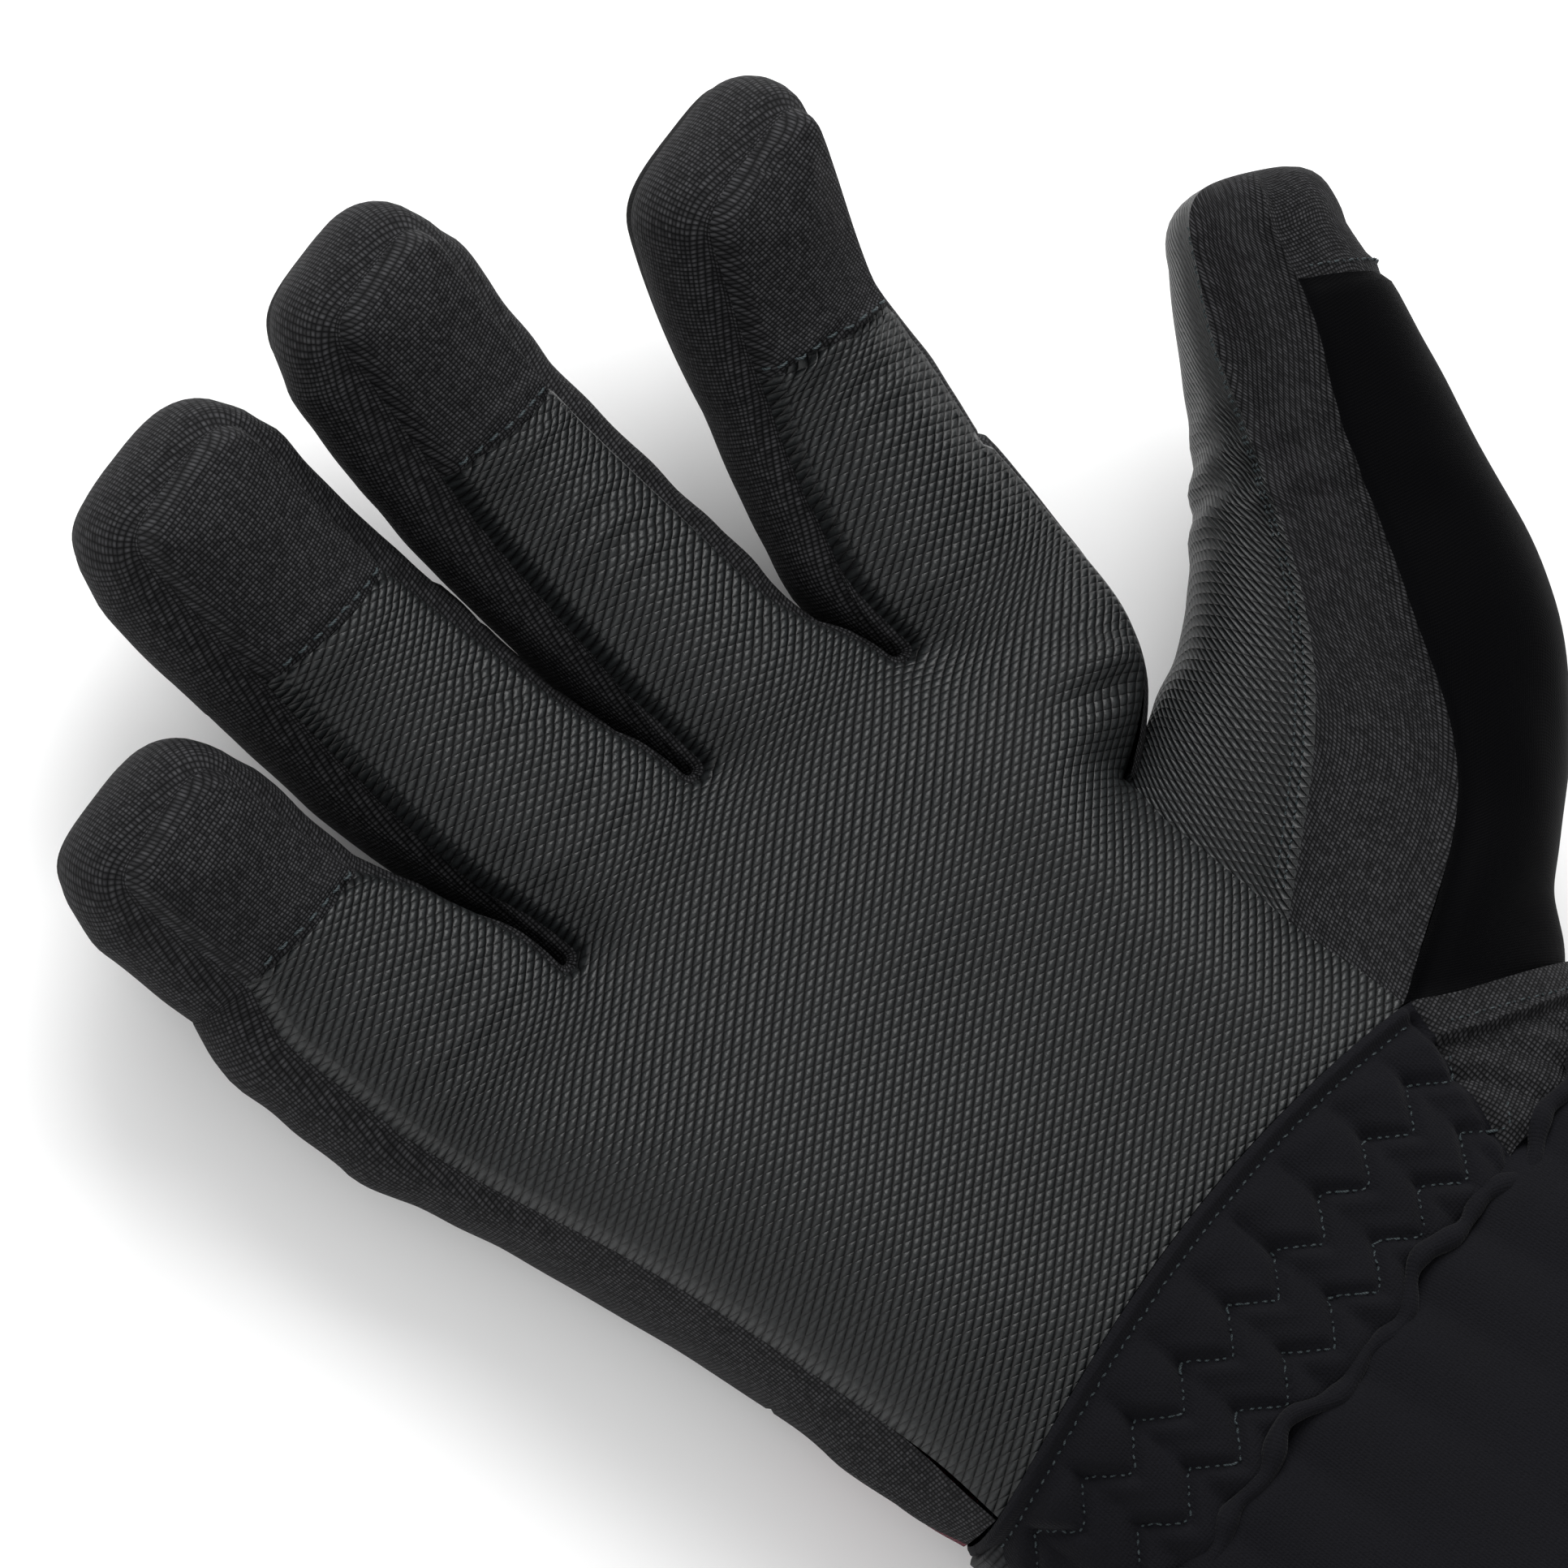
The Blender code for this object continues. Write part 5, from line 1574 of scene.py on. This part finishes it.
def stand_in():
    """Hides each CAD node that a piece stands for; the table pairs each node with its piece."""
    pairs = {
        "palm_panel": "palm_hand_0_grip", "back_panel": "back_hand_0_main",
        "accent_panel": "back_hand_0_accent", "outer_side_strip": "wall_hand_0_ulnar",
        "web_strip": "wall_hand_0_radial", "hand_insulation": "palm_hand_0_grip",
        "hand_lining": "inner_lining", "wrist_panel": "wrist_panel_skin",
        "wrist_gusset": "wrist_gusset_skin", "wrist_elastic": "wrist_panel_skin",
        "wrist_strap": "wrist_strap_webbing", "cuff_piping": "cuff_piping_roll",
        "cuff_palm_panel": "cuff_palm_skin", "cuff_back_panel": "cuff_back_skin",
        "cuff_lining": "inner_lining",
        "thumb_palm": "thumb_0_grip", "thumb_back": "thumb_0_shell",
        "thumb_fourchette_upper": "thumb_0_upper", "thumb_fourchette_lower": "thumb_0_lower",
        "thumb_liner": "thumb_0_grip", "thumb_tip_grip": "thumb_1_grip", "thumb_tip_cap": "thumb_1_shell_cap",
        "thumb_tip_sleeve": "thumb_1_shell", "thumb_tip_liner": "thumb_1_shell",
    }
    for name in ORDER:
        pairs[name + "_palm"] = pairs[name + "_liner"] = f"palm_{name}_0_grip"
        pairs[name + "_back"] = f"back_{name}_0_main"
        pairs[name + "_fourchette_ulnar"] = f"wall_{name}_0_ulnar"
        pairs[name + "_fourchette_radial"] = f"wall_{name}_0_radial"
        pairs[name + "_tip_grip"] = f"palm_{name}_1_grip"
        pairs[name + "_tip_cap"] = pairs[name + "_tip_liner"] = f"palm_{name}_1_cap"
        pairs[name + "_tip_sleeve"] = f"back_{name}_1_main"
    for node, piece in pairs.items():
        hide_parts(node)


PALM = build_palm()
BACK = build_back()
WALL = build_walls()
THUMB = build_thumb()
WRIST = build_wrist()
CUFF = build_cuff()
build_lining()
cap_stitches()
crotch_rolls()
wrist_trims()
cuff_stitches()
thumb_stitches()
build_strap()
stand_in()

# ---------------------------------------------------------------- stage, light and camera, in metres
LOOK_AT = Vector((0.015, 0.040, 0.020))
LOOK_LEAN = -0.36                     # how far the view tips from straight down, to the little-finger side
LOOK_ROLL = math.radians(49.0)
LOOK_DISTANCE, LOOK_WIDTH = 0.9, 0.199
SENSOR = 36.0
FLOOR_REACH, FLOOR_Z, FLOOR_SHADE = 3.0, -0.0006, 0.94
WORLD_STRENGTH = 0.66
LIGHTS_AT = (0.0, 0.04, 0.0)
# name, place, size and watts
LIGHTS = (("key", (0.62, 0.55, 0.72), 0.8, 14.0), ("fill", (-0.8, 0.1, 0.9), 1.4, 6.0))


def look_from():
    """The camera over the palm, rolled so that the fingers point up and to the left."""
    toward = Vector((LOOK_LEAN, 0.0, 1.0)).normalized()
    side = Vector((0.0, 1.0, 0.0))
    y_axis = (side - toward * side.dot(toward)).normalized()
    x_axis = y_axis.cross(toward)
    right = x_axis * math.cos(LOOK_ROLL) - y_axis * math.sin(LOOK_ROLL)
    up = x_axis * math.sin(LOOK_ROLL) + y_axis * math.cos(LOOK_ROLL)
    data = bpy.data.cameras.new("camera")
    camera = bpy.data.objects.new("camera", data)
    bpy.context.scene.collection.objects.link(camera)
    matrix = camera.matrix_world.copy()
    place = LOOK_AT + toward * LOOK_DISTANCE
    for row in range(3):
        matrix[row][:] = right[row], up[row], toward[row], place[row]
    camera.matrix_world = matrix
    data.sensor_width, data.lens = SENSOR, SENSOR * LOOK_DISTANCE / LOOK_WIDTH
    bpy.context.scene.camera = camera


def area_light(name, position, size, watts):
    data = bpy.data.lights.new(name, "AREA")
    data.size, data.energy = size, watts
    light = bpy.data.objects.new(name, data)
    light.location = position
    light.rotation_euler = (Vector(LIGHTS_AT) - Vector(position)).to_track_quat("-Z", "Y").to_euler()
    bpy.context.scene.collection.objects.link(light)


def build_stage():
    mesh = bpy.data.meshes.new("floor")
    corners = [(-1, -1), (1, -1), (1, 1), (-1, 1)]
    mesh.from_pydata([(x * FLOOR_REACH, y * FLOOR_REACH, 0) for x, y in corners], [], [(0, 1, 2, 3)])
    floor = bpy.data.objects.new("floor", mesh)
    floor.location.z = FLOOR_Z
    bpy.context.scene.collection.objects.link(floor)
    material = bpy.data.materials.new("floor_paper")
    material.use_nodes = True
    shader = material.node_tree.nodes["Principled BSDF"]
    shader.inputs["Base Color"].default_value = (FLOOR_SHADE, FLOOR_SHADE, FLOOR_SHADE, 1.0)
    shader.inputs["Roughness"].default_value = 0.9
    shader.inputs["Specular IOR Level"].default_value = 0.1
    mesh.materials.append(material)
    world = bpy.data.worlds.new("studio")
    world.use_nodes = True
    background = world.node_tree.nodes["Background"]
    background.inputs["Color"].default_value = (1.0, 1.0, 1.0, 1.0)
    background.inputs["Strength"].default_value = WORLD_STRENGTH
    bpy.context.scene.world = world
    for light in LIGHTS:
        area_light(*light)


look_from()
build_stage()
bpy.context.scene.view_settings.view_transform = "Standard"
